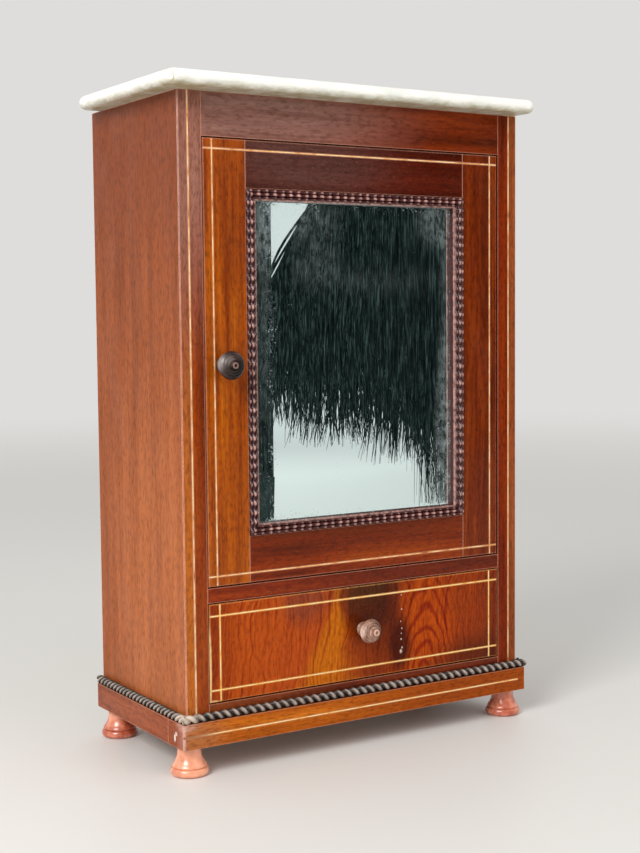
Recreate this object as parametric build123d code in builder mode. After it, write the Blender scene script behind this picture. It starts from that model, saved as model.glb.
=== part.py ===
from build123d import *
import os

# A miniature armoire in mahogany: a marble slab on a cabinet with one mirrored door over
# one drawer, on a plinth with four turned feet. Millimetres. Every x is measured from the
# middle of the cabinet, every depth back from its front face, every height from the floor.

# Cabinet body
opening_width = 237.0  # clear width between the two stiles
stile_width = 9.9
side_thickness = 6.6
cabinet_depth = 128.5
frame_thickness = 12.0  # depth of the stiles and rails
bottom_rail_height = 9.5
drawer_opening_height = 65.5
mid_rail_height = 9.6
door_opening_height = 285.6
top_rail_height = 27.8
top_board_thickness = 8.0
back_thickness = 4.0
back_rebate = 3.3  # how far the back panel laps each side panel
worn_arris = 0.6  # the cabinet's front corners are rubbed off by this much
frame_tenon_length = 6.0
frame_tenon_depth = 4.0  # front of the tenon behind the front face
frame_tenon_thickness = 4.0
frame_tenon_shoulder = 2.0

# Shelf inside the cupboard
shelf_height = 142.0  # top of the shelf over the cupboard floor
shelf_thickness = 6.0
shelf_setback = 20.0
cleat_size = 6.0

# Plinth and feet
plinth_height = 16.5
plinth_overhang = 4.5  # past the cabinet at the front and the sides
plinth_board_width = 22.0
foot_height = 19.2
foot_bead_radius = 12.6
foot_bead_height = 5.2
foot_base_radius = 10.2
foot_groove_radius = 11.4  # between the bead and the bell
foot_bell_radius = 9.4
foot_bell_height = 9.2
foot_neck_radius = 7.6
foot_neck_height = 4.0
foot_inset = 10.2  # foot axis in from the plinth's side
foot_inset_front = 12.5
foot_inset_back = 13.8
foot_spigot_radius = 4.0
foot_spigot_length = 10.0

# Rope moulding in the corner over the plinth
rope_radius = 2.9
rope_flats = 8
rope_strand_width = 5.2  # between two notches, measured square to them
rope_notch_depth = 1.1
rope_crown_cut = 0.5  # how far the strands' ridges are flattened
rope_lean = 34.0  # degrees between a strand and a square cut across the rope

# Marble slab, lying loose and pushed a little to the left and the front
marble_width = 287.5
marble_depth = 141.0
marble_thickness = 9.3
marble_corner_radius = 7.0
marble_edge_radius = 4.3
marble_shift_left = 6.8
marble_overhang_front = 21.5

# Door
door_gap = 0.8  # all round the door and the drawer front, but not at the hinges
hinge_gap = 1.2
door_member_width = 30.5
door_backset = 0.3  # the door's back lies this far in front of its stop
door_tenon_length = 12.0
door_tenon_depth = 5.5
door_tenon_thickness = 3.5
door_tenon_shoulder = 6.0  # at the door's edge, clear of the pivots
door_tenon_haunch = 2.0  # at the mirror's rebate
glass_depth = 4.5  # front of the mirror behind the front face
mirror_thickness = 2.5
backboard_thickness = 3.0
mirror_rebate = 4.0
mirror_play = 0.4
bead_width = 5.0
bead_gap = 0.1
front_arris = 0.5  # chamfer round the fronts of the door and the drawer
stop_height = 12.0
stop_thickness = 6.0
stop_reach = 5.0  # how far the stop hangs below the top rail
stop_margin = 8.0

# Ripple moulding round the mirror
ripple_width = 7.5
ripple_pitch = 6.05
ripple_wave = 1.1  # crest to trough
ripple_rise = 2.6  # middle reed over the door's front face
ripple_outer_rise = 0.5
ripple_reed_start = 1.2
ripple_reed_spacing = 2.3
ripple_reed_drop = 1.4  # valley between two reeds
ripple_edge_drop = 0.5  # outer and inner reeds below the middle one
ripple_fillet_width = 1.2  # plain inner edge
ripple_fillet_rise = 0.1

# Boxwood stringing
string_width = 1.0
string_depth = 0.8
door_string_inset = 6.5
drawer_string_inset = 7.8
plinth_string_missing = 6.0  # the right end has come away

# Door pivots
pivot_inset = 2.5  # pin axis in from the door's front face and its right edge
pivot_pin_radius = 1.0
pivot_pin_hold = 6.0
pivot_pin_reach = 5.0
pivot_clearance = 0.05
pivot_plate_length = 16.0
pivot_plate_width = 7.0
pivot_plate_thickness = 1.0
pivot_plate_edge = 1.6  # plate past the pin's axis, to the front and to the right

# Both knobs
knob_collar_thickness = 2.0
knob_neck_cut = 1.5
knob_neck_flare = 2.8
knob_rim_setback = 6.0  # widest part of the head behind the tip
knob_rim_round = 1.4
knob_rings = 2
knob_ring_rise = 0.5
knob_button_radius = 2.5
knob_button_height = 2.4
knob_dimple_radius = 1.0

# Door knob and its latch
door_knob_inset = 12.7  # knob axis in from the door's left edge
door_knob_height = 141.6  # knob axis over the door's bottom edge
door_knob_radius = 9.0
door_knob_collar_radius = 5.4
door_knob_reach = 17.0
knob_lift = 0.2  # the turning knob stands clear of the door
spindle_radius = 1.5
spindle_clearance = 0.05
spindle_socket = 8.0
tongue_width = 7.0
tongue_length = 20.0
tongue_thickness = 1.6
tongue_clearance = 0.3
rivet_radius = 2.6
rivet_height = 0.8

# Drawer
drawer_front_thickness = 10.0
drawer_lap = 4.0  # front left in front of the drawer sides
drawer_side_thickness = 5.2
drawer_side_drop = 1.5  # sides lower than the front
drawer_lift = 0.3
drawer_length = 118.0
drawer_back_thickness = 5.0
drawer_front_tails = 3  # dovetails between each side and the front
drawer_back_tails = 2
dovetail_share = 0.58  # part of the pitch that a tail takes at its root
dovetail_flare = 1.2
drawer_back_drop = 2.0  # back lower than the sides
drawer_bottom_thickness = 3.0
drawer_bottom_height = 3.6  # underside of the bottom over the bottom of the sides
drawer_groove = 2.0
drawer_knob_height = 34.3  # knob axis over the drawer front's bottom edge
drawer_knob_radius = 8.2
drawer_knob_collar_radius = 4.9
drawer_knob_reach = 18.0
drawer_knob_spigot_radius = 2.5
drawer_knob_spigot_length = 8.0
guide_height = 12.0
drawer_stop_size = 8.0
drawer_stop_height = 2.2
drawer_stop_spread = 80.0
drawer_stop_gap = 0.3

# Cut brads that hold the back panel
brad_width = 1.2
brad_length = 9.0
brads_a_side = 5
brad_end_margin = 18.0

# Heights of the main levels
body_z = foot_height + plinth_height
drawer_opening_z = body_z + bottom_rail_height
mid_rail_z = drawer_opening_z + drawer_opening_height
door_opening_z = mid_rail_z + mid_rail_height
top_rail_z = door_opening_z + door_opening_height
body_top_z = top_rail_z + top_rail_height
body_height = body_top_z - body_z

# Widths and depths that follow from the driving ones
half_opening = opening_width / 2
side_inner = half_opening + stile_width
half_width = side_inner + side_thickness
half_plinth = half_width + plinth_overhang
back_depth = cabinet_depth - back_thickness
foot_x = half_plinth - foot_inset
foot_depths = {"front": foot_inset_front - plinth_overhang, "back": cabinet_depth - foot_inset_back}

# The row's origin is on the floor, under the middle of the box that holds the whole object.
reach_left = max(marble_width / 2 + marble_shift_left, foot_x + foot_bead_radius)
reach_right = max(marble_width / 2 - marble_shift_left, foot_x + foot_bead_radius)
reach_front = max(marble_overhang_front, door_knob_reach + knob_lift, drawer_knob_reach)
reach_back = max(cabinet_depth, marble_depth - marble_overhang_front)
middle_x = (reach_left - reach_right) / 2
face_y = (reach_front - reach_back) / 2

# The door's outline and the opening inside its frame
door_left = door_gap - half_opening
door_right = half_opening - hinge_gap
door_bottom = door_opening_z + door_gap
door_top = top_rail_z - door_gap
door_thickness = frame_thickness - door_backset
sight_left = door_left + door_member_width
sight_right = door_right - door_member_width
sight_bottom = door_bottom + door_member_width
sight_top = door_top - door_member_width
pivot_x = door_right - pivot_inset
knob_x = door_left + door_knob_inset
knob_z = door_bottom + door_knob_height

# The drawer's outline
drawer_half = half_opening - door_gap
drawer_front_bottom = drawer_opening_z + door_gap
drawer_front_top = mid_rail_z - door_gap
drawer_side_bottom = drawer_opening_z + drawer_lift
drawer_side_top = drawer_front_top - drawer_side_drop
drawer_inner = drawer_half - drawer_side_thickness
drawer_bottom_z = drawer_side_bottom + drawer_bottom_height
drawer_knob_z = drawer_front_bottom + drawer_knob_height


def level(height):
    # A level plane: x from the cabinet's middle, y back from its front face.
    return Plane(origin=(middle_x, face_y, height))


def upright(depth):
    # A plane that faces forward: x from the cabinet's middle, y up from the floor.
    return Plane(origin=(middle_x, face_y + depth, 0), x_dir=(1, 0, 0), z_dir=(0, -1, 0))


def turning(x, depth, height):
    # A plane for the outline of a knob: x is its radius and y is how far it stands out.
    return Plane(origin=(middle_x + x, face_y + depth, height), x_dir=(1, 0, 0), z_dir=(0, 0, -1))


def block(left, right, near, far, bottom, top, mode=Mode.ADD):
    with BuildSketch(level(bottom)) as outline:
        with Locations(((left + right) / 2, (near + far) / 2)):
            Rectangle(right - left, far - near)
    extrude(outline.sketch, amount=top - bottom, mode=mode)


def rod(x, depth, bottom, top, radius, mode=Mode.ADD):
    with BuildSketch(level(bottom)) as outline:
        with Locations((x, depth)):
            Circle(radius)
    extrude(outline.sketch, amount=top - bottom, mode=mode)


def bore(x, height, near, far, radius, mode=Mode.SUBTRACT):
    with BuildSketch(upright(near)) as outline:
        with Locations((x, height)):
            Circle(radius)
    extrude(outline.sketch, amount=near - far, mode=mode)


def strips(left, right, bottom, top, inset):
    # Stringing lines that cross near the corners and run out to the edges of a front.
    with BuildSketch(upright(0)) as lines:
        with Locations(((left + right) / 2, (bottom + top) / 2)):
            with GridLocations(right - left - 2 * inset, 0, 2, 1):
                Rectangle(string_width, top - bottom - 2 * front_arris)
            with GridLocations(0, top - bottom - 2 * inset, 1, 2):
                Rectangle(right - left - 2 * front_arris, string_width)
    return lines.sketch


def save(piece, name):
    piece.part.label = name
    export_step(piece.part, f"parts/{name}.step")


def make_marble_top():
    # The slab's front edge and ends are rounded over, above and below.
    middle_depth = marble_depth / 2 - marble_overhang_front
    with BuildPart() as marble_top:
        with BuildSketch(level(body_top_z)):
            with Locations((-marble_shift_left, middle_depth)):
                RectangleRounded(marble_width, marble_depth, marble_corner_radius)
        extrude(amount=marble_thickness)
        rims = marble_top.edges().group_by(Axis.Z)
        fillet(rims[0] + rims[-1], marble_edge_radius)
    save(marble_top, "marble_top")


def make_sides_and_back():
    run = body_height - 2 * brad_end_margin
    with BuildSketch(upright(cabinet_depth)) as marks:
        with Locations((0, (body_z + body_top_z) / 2)):
            with GridLocations(2 * side_inner + back_rebate, run / (brads_a_side - 1), 2, brads_a_side):
                Rectangle(brad_width, brad_width)
    for hand, side in (("left", -1), ("right", 1)):
        with BuildPart() as side_panel:
            with BuildSketch(level(body_z)):
                with BuildLine():
                    Polyline(
                        (side * half_width, worn_arris),
                        (side * (half_width - worn_arris), 0),
                        (side * side_inner, 0),
                        (side * side_inner, back_depth),
                        (side * (side_inner + back_rebate), back_depth),
                        (side * (side_inner + back_rebate), cabinet_depth),
                        (side * half_width, cabinet_depth),
                        close=True,
                    )
                make_face()
            extrude(amount=body_height)
            extrude(marks.sketch, amount=brad_length, mode=Mode.SUBTRACT)
        save(side_panel, f"side_{hand}")

    # The back panel lies in the rebates of the sides, and brads go through it into them.
    half_back = side_inner + back_rebate
    with BuildPart() as back_panel:
        block(-half_back, half_back, back_depth, cabinet_depth, body_z, body_top_z)
        extrude(marks.sketch, amount=brad_length, mode=Mode.SUBTRACT)
    save(back_panel, "back_panel")

    with BuildPart() as back_brads:
        extrude(marks.sketch, amount=brad_length)
    save(back_brads, "back_brads")


def frame_tenon(side, bottom, top, mode=Mode.ADD):
    # The stub tenon at one end of a rail of the cabinet's front.
    block(*sorted((side * half_opening, side * (half_opening + frame_tenon_length))),
          frame_tenon_depth, frame_tenon_depth + frame_tenon_thickness,
          bottom + frame_tenon_shoulder, top - frame_tenon_shoulder, mode)


def make_front_frame():
    with BuildSketch(upright(0)) as lines:
        with Locations((0, (body_z + body_top_z) / 2)):
            with GridLocations(2 * side_inner - string_width, 0, 2, 1):
                Rectangle(string_width, body_height)
    rails = {
        "bottom_rail": (body_z, drawer_opening_z),
        "mid_rail": (mid_rail_z, door_opening_z),
        "top_rail": (top_rail_z, body_top_z),
    }
    pin_seats = {"mid_rail": door_opening_z - pivot_pin_hold, "top_rail": top_rail_z}
    for hand, side in (("left", -1), ("right", 1)):
        edges = sorted((side * half_opening, side * side_inner))
        with BuildPart() as stile:
            block(*edges, 0, frame_thickness, body_z, body_top_z)
            extrude(lines.sketch, amount=-string_depth, mode=Mode.SUBTRACT)
            for bottom, top in rails.values():
                frame_tenon(side, bottom, top, Mode.SUBTRACT)
        save(stile, f"stile_{hand}")

    with BuildPart() as cabinet_stringing:
        extrude(lines.sketch, amount=-string_depth)
    save(cabinet_stringing, "cabinet_stringing")

    for name, (bottom, top) in rails.items():
        with BuildPart() as rail:
            block(-half_opening, half_opening, 0, frame_thickness, bottom, top)
            for side in (-1, 1):
                frame_tenon(side, bottom, top)
            if name in pin_seats:
                rod(pivot_x, pivot_inset, pin_seats[name], pin_seats[name] + pivot_pin_hold,
                    pivot_pin_radius, Mode.SUBTRACT)
        save(rail, name)

    half_stop = half_opening - stop_margin
    with BuildPart() as door_stop:
        block(-half_stop, half_stop, frame_thickness, frame_thickness + stop_thickness,
              top_rail_z - stop_reach, top_rail_z - stop_reach + stop_height)
    save(door_stop, "door_stop")


def make_boards():
    boards = {
        "top_board": (body_top_z - top_board_thickness, body_top_z),
        "divider_board": (mid_rail_z, door_opening_z),
        "bottom_board": (body_z, drawer_opening_z),
    }
    for name, (bottom, top) in boards.items():
        with BuildPart() as board:
            block(-side_inner, side_inner, frame_thickness, back_depth, bottom, top)
        save(board, name)

    shelf_top = door_opening_z + shelf_height
    shelf_bottom = shelf_top - shelf_thickness
    with BuildPart() as shelf:
        block(-side_inner, side_inner, shelf_setback, back_depth, shelf_bottom, shelf_top)
    save(shelf, "shelf")

    with BuildPart() as shelf_cleats:
        for side in (-1, 1):
            edges = sorted((side * side_inner, side * (side_inner - cleat_size)))
            block(*edges, shelf_setback, back_depth, shelf_bottom - cleat_size, shelf_bottom)
    save(shelf_cleats, "shelf_cleats")


def make_plinth():
    with BuildSketch(upright(-plinth_overhang)) as line:
        with Locations((-plinth_string_missing / 2, foot_height + plinth_height / 2)):
            Rectangle(2 * half_plinth - plinth_string_missing, string_width)
    front_back = plinth_board_width - plinth_overhang
    side_board = half_plinth - plinth_board_width
    spigot_top = foot_height + foot_spigot_length
    with BuildPart() as plinth_front:
        block(-half_plinth, half_plinth, -plinth_overhang, front_back, foot_height, body_z)
        for x in (-foot_x, foot_x):
            rod(x, foot_depths["front"], foot_height, spigot_top, foot_spigot_radius, Mode.SUBTRACT)
        extrude(line.sketch, amount=-string_depth, mode=Mode.SUBTRACT)
    save(plinth_front, "plinth_front")

    for hand, side in (("left", -1), ("right", 1)):
        edges = sorted((side * half_plinth, side * side_board))
        with BuildPart() as board:
            block(*edges, front_back, cabinet_depth, foot_height, body_z)
            rod(side * foot_x, foot_depths["back"], foot_height, spigot_top, foot_spigot_radius,
                Mode.SUBTRACT)
        save(board, f"plinth_{hand}")

    rear_front = cabinet_depth - plinth_board_width
    with BuildPart() as plinth_back:
        block(-side_board, side_board, rear_front, cabinet_depth, foot_height, body_z)
    save(plinth_back, "plinth_back")

    with BuildPart() as plinth_stringing:
        extrude(line.sketch, amount=-string_depth)
    save(plinth_stringing, "plinth_stringing")


def make_feet():
    # Each foot is turned: a round bead, a groove, a bell that narrows to the neck, a spigot.
    for place, depth in foot_depths.items():
        for hand, side in (("left", -1), ("right", 1)):
            seat = Plane(origin=level(0).from_local_coords((side * foot_x, depth, 0)),
                         x_dir=(1, 0, 0), z_dir=(0, -1, 0))
            with BuildPart() as foot:
                with BuildSketch(seat):
                    with BuildLine():
                        Line((0, 0), (foot_base_radius, 0))
                        Spline(
                            (foot_base_radius, 0),
                            (foot_bead_radius, foot_bead_height / 2),
                            (foot_groove_radius, foot_bead_height),
                        )
                        Spline(
                            (foot_groove_radius, foot_bead_height),
                            (foot_bell_radius, foot_bell_height),
                            (foot_neck_radius, foot_height - foot_neck_height),
                            (foot_neck_radius, foot_height),
                        )
                        Polyline(
                            (foot_neck_radius, foot_height),
                            (foot_spigot_radius, foot_height),
                            (foot_spigot_radius, foot_height + foot_spigot_length),
                            (0, foot_height + foot_spigot_length),
                            (0, 0),
                        )
                    make_face()
                revolve(axis=Axis(seat.origin, seat.y_dir))
            save(foot, f"foot_{place}_{hand}")


def make_rope(name, wall, start, end, mitres, lean):
    # The rope lies in the corner between a wall of the cabinet and the plinth's top. On the
    # wall's plane x runs along it, y is up and z stands out. Slanting notches part its strands.
    spare = 2 * rope_radius
    first = start - spare if "start" in mitres else start
    last = end + spare if "end" in mitres else end
    reach = (last - first) / 2 + spare
    near_end = wall.from_local_coords((first, body_z + rope_radius, rope_radius))
    middle = near_end + wall.x_dir * (last - first) / 2
    facing = (wall.y_dir + wall.z_dir).normalized()
    turn = Axis((0, 0, 0), facing)
    combed = Plane(origin=middle, x_dir=wall.x_dir.rotate(turn, lean),
                   z_dir=wall.x_dir.cross(facing).rotate(turn, lean))
    strands = int(reach / rope_strand_width) + 1
    valley = rope_radius - rope_notch_depth
    ridge = rope_radius + rope_crown_cut
    comb = [(-strands * rope_strand_width, -spare), (-strands * rope_strand_width, valley)]
    for step in range(-strands, strands):
        comb.append(((step + 0.5) * rope_strand_width, ridge))
        comb.append(((step + 1) * rope_strand_width, valley))
    comb.append((strands * rope_strand_width, -spare))
    with BuildPart() as rope:
        with BuildSketch(Plane(origin=near_end, x_dir=wall.z_dir, z_dir=wall.x_dir)):
            RegularPolygon(rope_radius, rope_flats, major_radius=False, rotation=180 / rope_flats)
        extrude(amount=last - first)
        for place, x, side in (("start", start, -1), ("end", end, 1)):
            if place in mitres:
                mitre = Plane(origin=wall.from_local_coords((x, 0, 0)), z_dir=wall.x_dir * side - wall.z_dir)
                split(bisect_by=mitre, keep=Keep.BOTTOM)
        with BuildSketch(combed.offset(-reach)):
            with BuildLine():
                Polyline(*comb, close=True)
            make_face()
        extrude(amount=2 * reach, mode=Mode.INTERSECT)
    save(rope, name)


def make_ropes():
    left_wall = Plane(origin=(middle_x - half_width, face_y, 0), x_dir=(0, -1, 0), z_dir=(-1, 0, 0))
    right_wall = Plane(origin=(middle_x + half_width, face_y, 0), x_dir=(0, 1, 0), z_dir=(1, 0, 0))
    make_rope("rope_front", upright(0), -half_width, half_width, ("start", "end"), rope_lean)
    make_rope("rope_left", left_wall, -cabinet_depth, 0, ("end",), -rope_lean)
    make_rope("rope_right", right_wall, 0, cabinet_depth, ("start",), rope_lean)


def pivot_plates(mode=Mode.ADD):
    # The brass plates let into the door's ends; the pins turn in them.
    right = pivot_x + pivot_plate_edge
    near = pivot_inset - pivot_plate_edge
    for low in (door_bottom, door_top - pivot_plate_thickness):
        block(right - pivot_plate_length, right, near, near + pivot_plate_width,
              low, low + pivot_plate_thickness, mode)


def pivot_holes():
    radius = pivot_pin_radius + pivot_clearance
    depth = pivot_pin_reach + pivot_clearance
    rod(pivot_x, pivot_inset, door_opening_z, door_opening_z + depth, radius, Mode.SUBTRACT)
    rod(pivot_x, pivot_inset, top_rail_z - depth, top_rail_z, radius, Mode.SUBTRACT)


def door_tenons(low, high, mode=Mode.ADD):
    # The tenons at both ends of one rail of the door, behind the mirror's rebate.
    for side, shoulder in ((-1, sight_left - mirror_rebate), (1, sight_right + mirror_rebate)):
        block(*sorted((shoulder, shoulder + side * door_tenon_length)),
              door_tenon_depth, door_tenon_depth + door_tenon_thickness, low, high, mode)


def make_door_frame():
    lines = strips(door_left, door_right, door_bottom, door_top, door_string_inset)
    sides = {"left": (-1, door_left, sight_left), "right": (1, door_right, sight_right)}
    ends = {"bottom": (-1, door_bottom, sight_bottom), "top": (1, door_top, sight_top)}
    tenons = {
        "bottom": (door_bottom + door_tenon_shoulder, sight_bottom - mirror_rebate - door_tenon_haunch),
        "top": (sight_top + mirror_rebate + door_tenon_haunch, door_top - door_tenon_shoulder),
    }
    for hand, (side, outer, inner) in sides.items():
        with BuildPart() as stile:
            with BuildSketch(level(door_bottom)):
                with BuildLine():
                    Polyline(
                        (outer, front_arris),
                        (outer - side * front_arris, 0),
                        (inner, 0),
                        (inner, glass_depth),
                        (inner + side * mirror_rebate, glass_depth),
                        (inner + side * mirror_rebate, door_thickness),
                        (outer, door_thickness),
                        close=True,
                    )
                make_face()
            extrude(amount=door_top - door_bottom)
            chamfer(stile.faces().sort_by(Axis.Y)[0].edges().filter_by(Axis.X), front_arris)
            extrude(lines, amount=-string_depth, mode=Mode.SUBTRACT)
            if hand == "left":
                bore(knob_x, knob_z, 0, door_thickness, spindle_radius + spindle_clearance)
            else:
                pivot_plates(Mode.SUBTRACT)
                pivot_holes()
            for span in tenons.values():
                door_tenons(*span, Mode.SUBTRACT)
        save(stile, f"door_stile_{hand}")

    # Behind the glass the rails reach further out, into the rebates of the stiles.
    for place, (side, outer, inner) in ends.items():
        rebate_edge = inner + side * mirror_rebate
        with BuildPart() as rail:
            block(sight_left, sight_right, 0, glass_depth, *sorted((outer, inner)))
            block(sight_left - mirror_rebate, sight_right + mirror_rebate, glass_depth, door_thickness,
                  *sorted((outer, rebate_edge)))
            front_edges = rail.faces().sort_by(Axis.Y)[0].edges().sort_by(Axis.Z)
            chamfer(front_edges[-1 if side > 0 else 0], front_arris)
            extrude(lines, amount=-string_depth, mode=Mode.SUBTRACT)
            door_tenons(*tenons[place])
        save(rail, f"door_rail_{place}")

    with BuildPart() as door_stringing:
        extrude(lines, amount=-string_depth)
    save(door_stringing, "door_stringing")


def make_pivots():
    with BuildPart() as hinge_plates:
        pivot_plates()
        pivot_holes()
    save(hinge_plates, "hinge_plates")

    pins = (
        (door_opening_z - pivot_pin_hold, door_opening_z + pivot_pin_reach),
        (top_rail_z - pivot_pin_reach, top_rail_z + pivot_pin_hold),
    )
    with BuildPart() as hinge_pins:
        for low, high in pins:
            rod(pivot_x, pivot_inset, low, high, pivot_pin_radius)
    save(hinge_pins, "hinge_pins")


def make_mirror():
    left = sight_left - mirror_rebate
    right = sight_right + mirror_rebate
    bottom = sight_bottom - mirror_rebate
    top = sight_top + mirror_rebate
    play = mirror_play
    board_depth = glass_depth + mirror_thickness
    bead_depth = board_depth + backboard_thickness
    with BuildPart() as mirror_plate:
        block(left + play, right - play, glass_depth, board_depth, bottom + play, top - play)
    save(mirror_plate, "mirror_plate")

    with BuildPart() as mirror_backboard:
        block(left + play, right - play, board_depth, bead_depth, bottom + play, top - play)
    save(mirror_backboard, "mirror_backboard")

    # Beads pinned into the rebate hold the backboard. The upright ones run between the others.
    with BuildPart() as mirror_beads:
        block(left, right, bead_depth, door_thickness, bottom, bottom + bead_width)
        block(left, right, bead_depth, door_thickness, top - bead_width, top)
        block(left, left + bead_width, bead_depth, door_thickness,
              bottom + bead_width + bead_gap, top - bead_width - bead_gap)
        block(right - bead_width, right, bead_depth, door_thickness,
              bottom + bead_width + bead_gap, top - bead_width - bead_gap)
    save(mirror_beads, "mirror_beads")


def make_ripple(name, edge, length):
    # One mitred length of ripple moulding. On its plane x runs along the frame's inner edge,
    # y goes in over the mirror and z stands out. Three reeds rise and fall together in waves.
    crest = glass_depth + ripple_rise
    waves = round(length / ripple_pitch)
    with BuildPart() as ripple:
        for step in range(2 * waves + 1):
            sink = ripple_wave if step % 2 == 0 else 0
            origin = edge.from_local_coords((step * length / (2 * waves), 0, 0))
            with BuildSketch(Plane(origin=origin, x_dir=edge.y_dir, z_dir=edge.x_dir)):
                with BuildLine():
                    Polyline(
                        (0, 0),
                        (0, glass_depth + ripple_outer_rise - sink),
                        (ripple_reed_start, crest - ripple_edge_drop - sink),
                        (ripple_reed_start + ripple_reed_spacing / 2, crest - ripple_reed_drop - sink),
                        (ripple_reed_start + ripple_reed_spacing, crest - sink),
                        (ripple_reed_start + ripple_reed_spacing * 1.5, crest - ripple_reed_drop - sink),
                        (ripple_reed_start + ripple_reed_spacing * 2, crest - ripple_edge_drop - sink),
                        (ripple_width - ripple_fillet_width, glass_depth + ripple_fillet_rise),
                        (ripple_width, glass_depth + ripple_fillet_rise),
                        (ripple_width, 0),
                        close=True,
                    )
                make_face()
        loft(ruled=True)
        split(bisect_by=Plane(origin=edge.origin, z_dir=edge.y_dir - edge.x_dir), keep=Keep.BOTTOM)
        far_corner = edge.from_local_coords((length, 0, 0))
        split(bisect_by=Plane(origin=far_corner, z_dir=edge.y_dir + edge.x_dir), keep=Keep.BOTTOM)
    save(ripple, name)


def make_ripples():
    # The four lengths run round the mirror, each from the corner where the one before ends.
    wide = sight_right - sight_left
    high = sight_top - sight_bottom
    runs = {
        "ripple_bottom": (sight_left, sight_bottom, (1, 0, 0), wide),
        "ripple_right": (sight_right, sight_bottom, (0, 0, 1), high),
        "ripple_top": (sight_right, sight_top, (-1, 0, 0), wide),
        "ripple_left": (sight_left, sight_top, (0, 0, -1), high),
    }
    for name, (x, height, along, length) in runs.items():
        corner = upright(glass_depth).from_local_coords((x, height, 0))
        make_ripple(name, Plane(origin=corner, x_dir=along, z_dir=(0, -1, 0)), length)


def knob_outline(collar_radius, radius, reach):
    # Half of a turned knob, from its seat outward: a collar, a neck, a round head whose face
    # steps down in rings towards the rim, and a button with a dimple.
    neck_radius = collar_radius - knob_neck_cut
    neck_height = knob_collar_thickness + knob_neck_cut
    button_foot = reach - knob_button_height
    ring_step = (radius - knob_rim_round - knob_button_radius) / knob_rings
    rings = []
    for ring in range(knob_rings):
        ring_radius = radius - knob_rim_round - ring * ring_step
        ring_height = button_foot - (knob_rings - ring) * knob_ring_rise
        rings.append((ring_radius, ring_height))
        rings.append((ring_radius - knob_ring_rise, ring_height + knob_ring_rise))
    with BuildLine() as outline:
        Polyline(
            (0, 0),
            (collar_radius, 0),
            (collar_radius, knob_collar_thickness),
            (neck_radius, neck_height),
        )
        Spline(
            (neck_radius, neck_height),
            (neck_radius + (radius - neck_radius) / 2, neck_height + knob_neck_flare),
            (radius, reach - knob_rim_setback),
            rings[0],
        )
        Polyline(
            *rings,
            (knob_button_radius, button_foot - knob_ring_rise),
            (knob_button_radius, reach - knob_ring_rise),
            (knob_button_radius - knob_ring_rise, reach),
            (knob_dimple_radius, reach),
            (0, reach - knob_ring_rise),
            (0, 0),
        )
    return outline.line


def make_door_knob():
    seat = turning(knob_x, -knob_lift, knob_z)
    socket_end = -knob_lift - spindle_socket
    tongue_front = frame_thickness + tongue_clearance
    tongue_back = tongue_front + tongue_thickness
    with BuildPart() as door_knob:
        with BuildSketch(seat):
            add(knob_outline(door_knob_collar_radius, door_knob_radius, door_knob_reach))
            make_face()
        revolve(axis=Axis(seat.origin, seat.y_dir))
        bore(knob_x, knob_z, socket_end, -knob_lift, spindle_radius)
    save(door_knob, "door_knob")

    # The spindle's inner end is riveted over the tongue.
    with BuildPart() as latch_spindle:
        bore(knob_x, knob_z, socket_end, tongue_back, spindle_radius, Mode.ADD)
        bore(knob_x, knob_z, tongue_back, tongue_back + rivet_height, rivet_radius, Mode.ADD)
    save(latch_spindle, "latch_spindle")

    # The tongue hangs down when the door is free to open.
    straight = tongue_length - tongue_width / 2
    with BuildPart() as latch_tongue:
        with BuildSketch(upright(tongue_front)):
            with Locations((knob_x, knob_z - straight / 2)):
                SlotCenterToCenter(straight, tongue_width, rotation=90)
        extrude(amount=-tongue_thickness)
        bore(knob_x, knob_z, tongue_front, tongue_back, spindle_radius)
    save(latch_tongue, "latch_tongue")


def dovetails(side, root, end, bottom, top, count, mode=Mode.ADD):
    # The tails of one drawer side: each is wider at its end than at its root.
    inner_face = Plane(origin=level(0).from_local_coords((side * drawer_inner, root, (bottom + top) / 2)),
                       x_dir=(0, 1, 0), z_dir=(1, 0, 0))
    pitch = (top - bottom) / count
    length = end - root
    half_root = pitch * dovetail_share / 2
    half_end = half_root + dovetail_flare
    with BuildSketch(inner_face) as tails:
        with GridLocations(0, pitch, 1, count):
            Polygon((0, -half_root), (0, half_root), (length, half_end), (length, -half_end), align=None)
    extrude(tails.sketch, amount=side * drawer_side_thickness, mode=mode)


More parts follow.
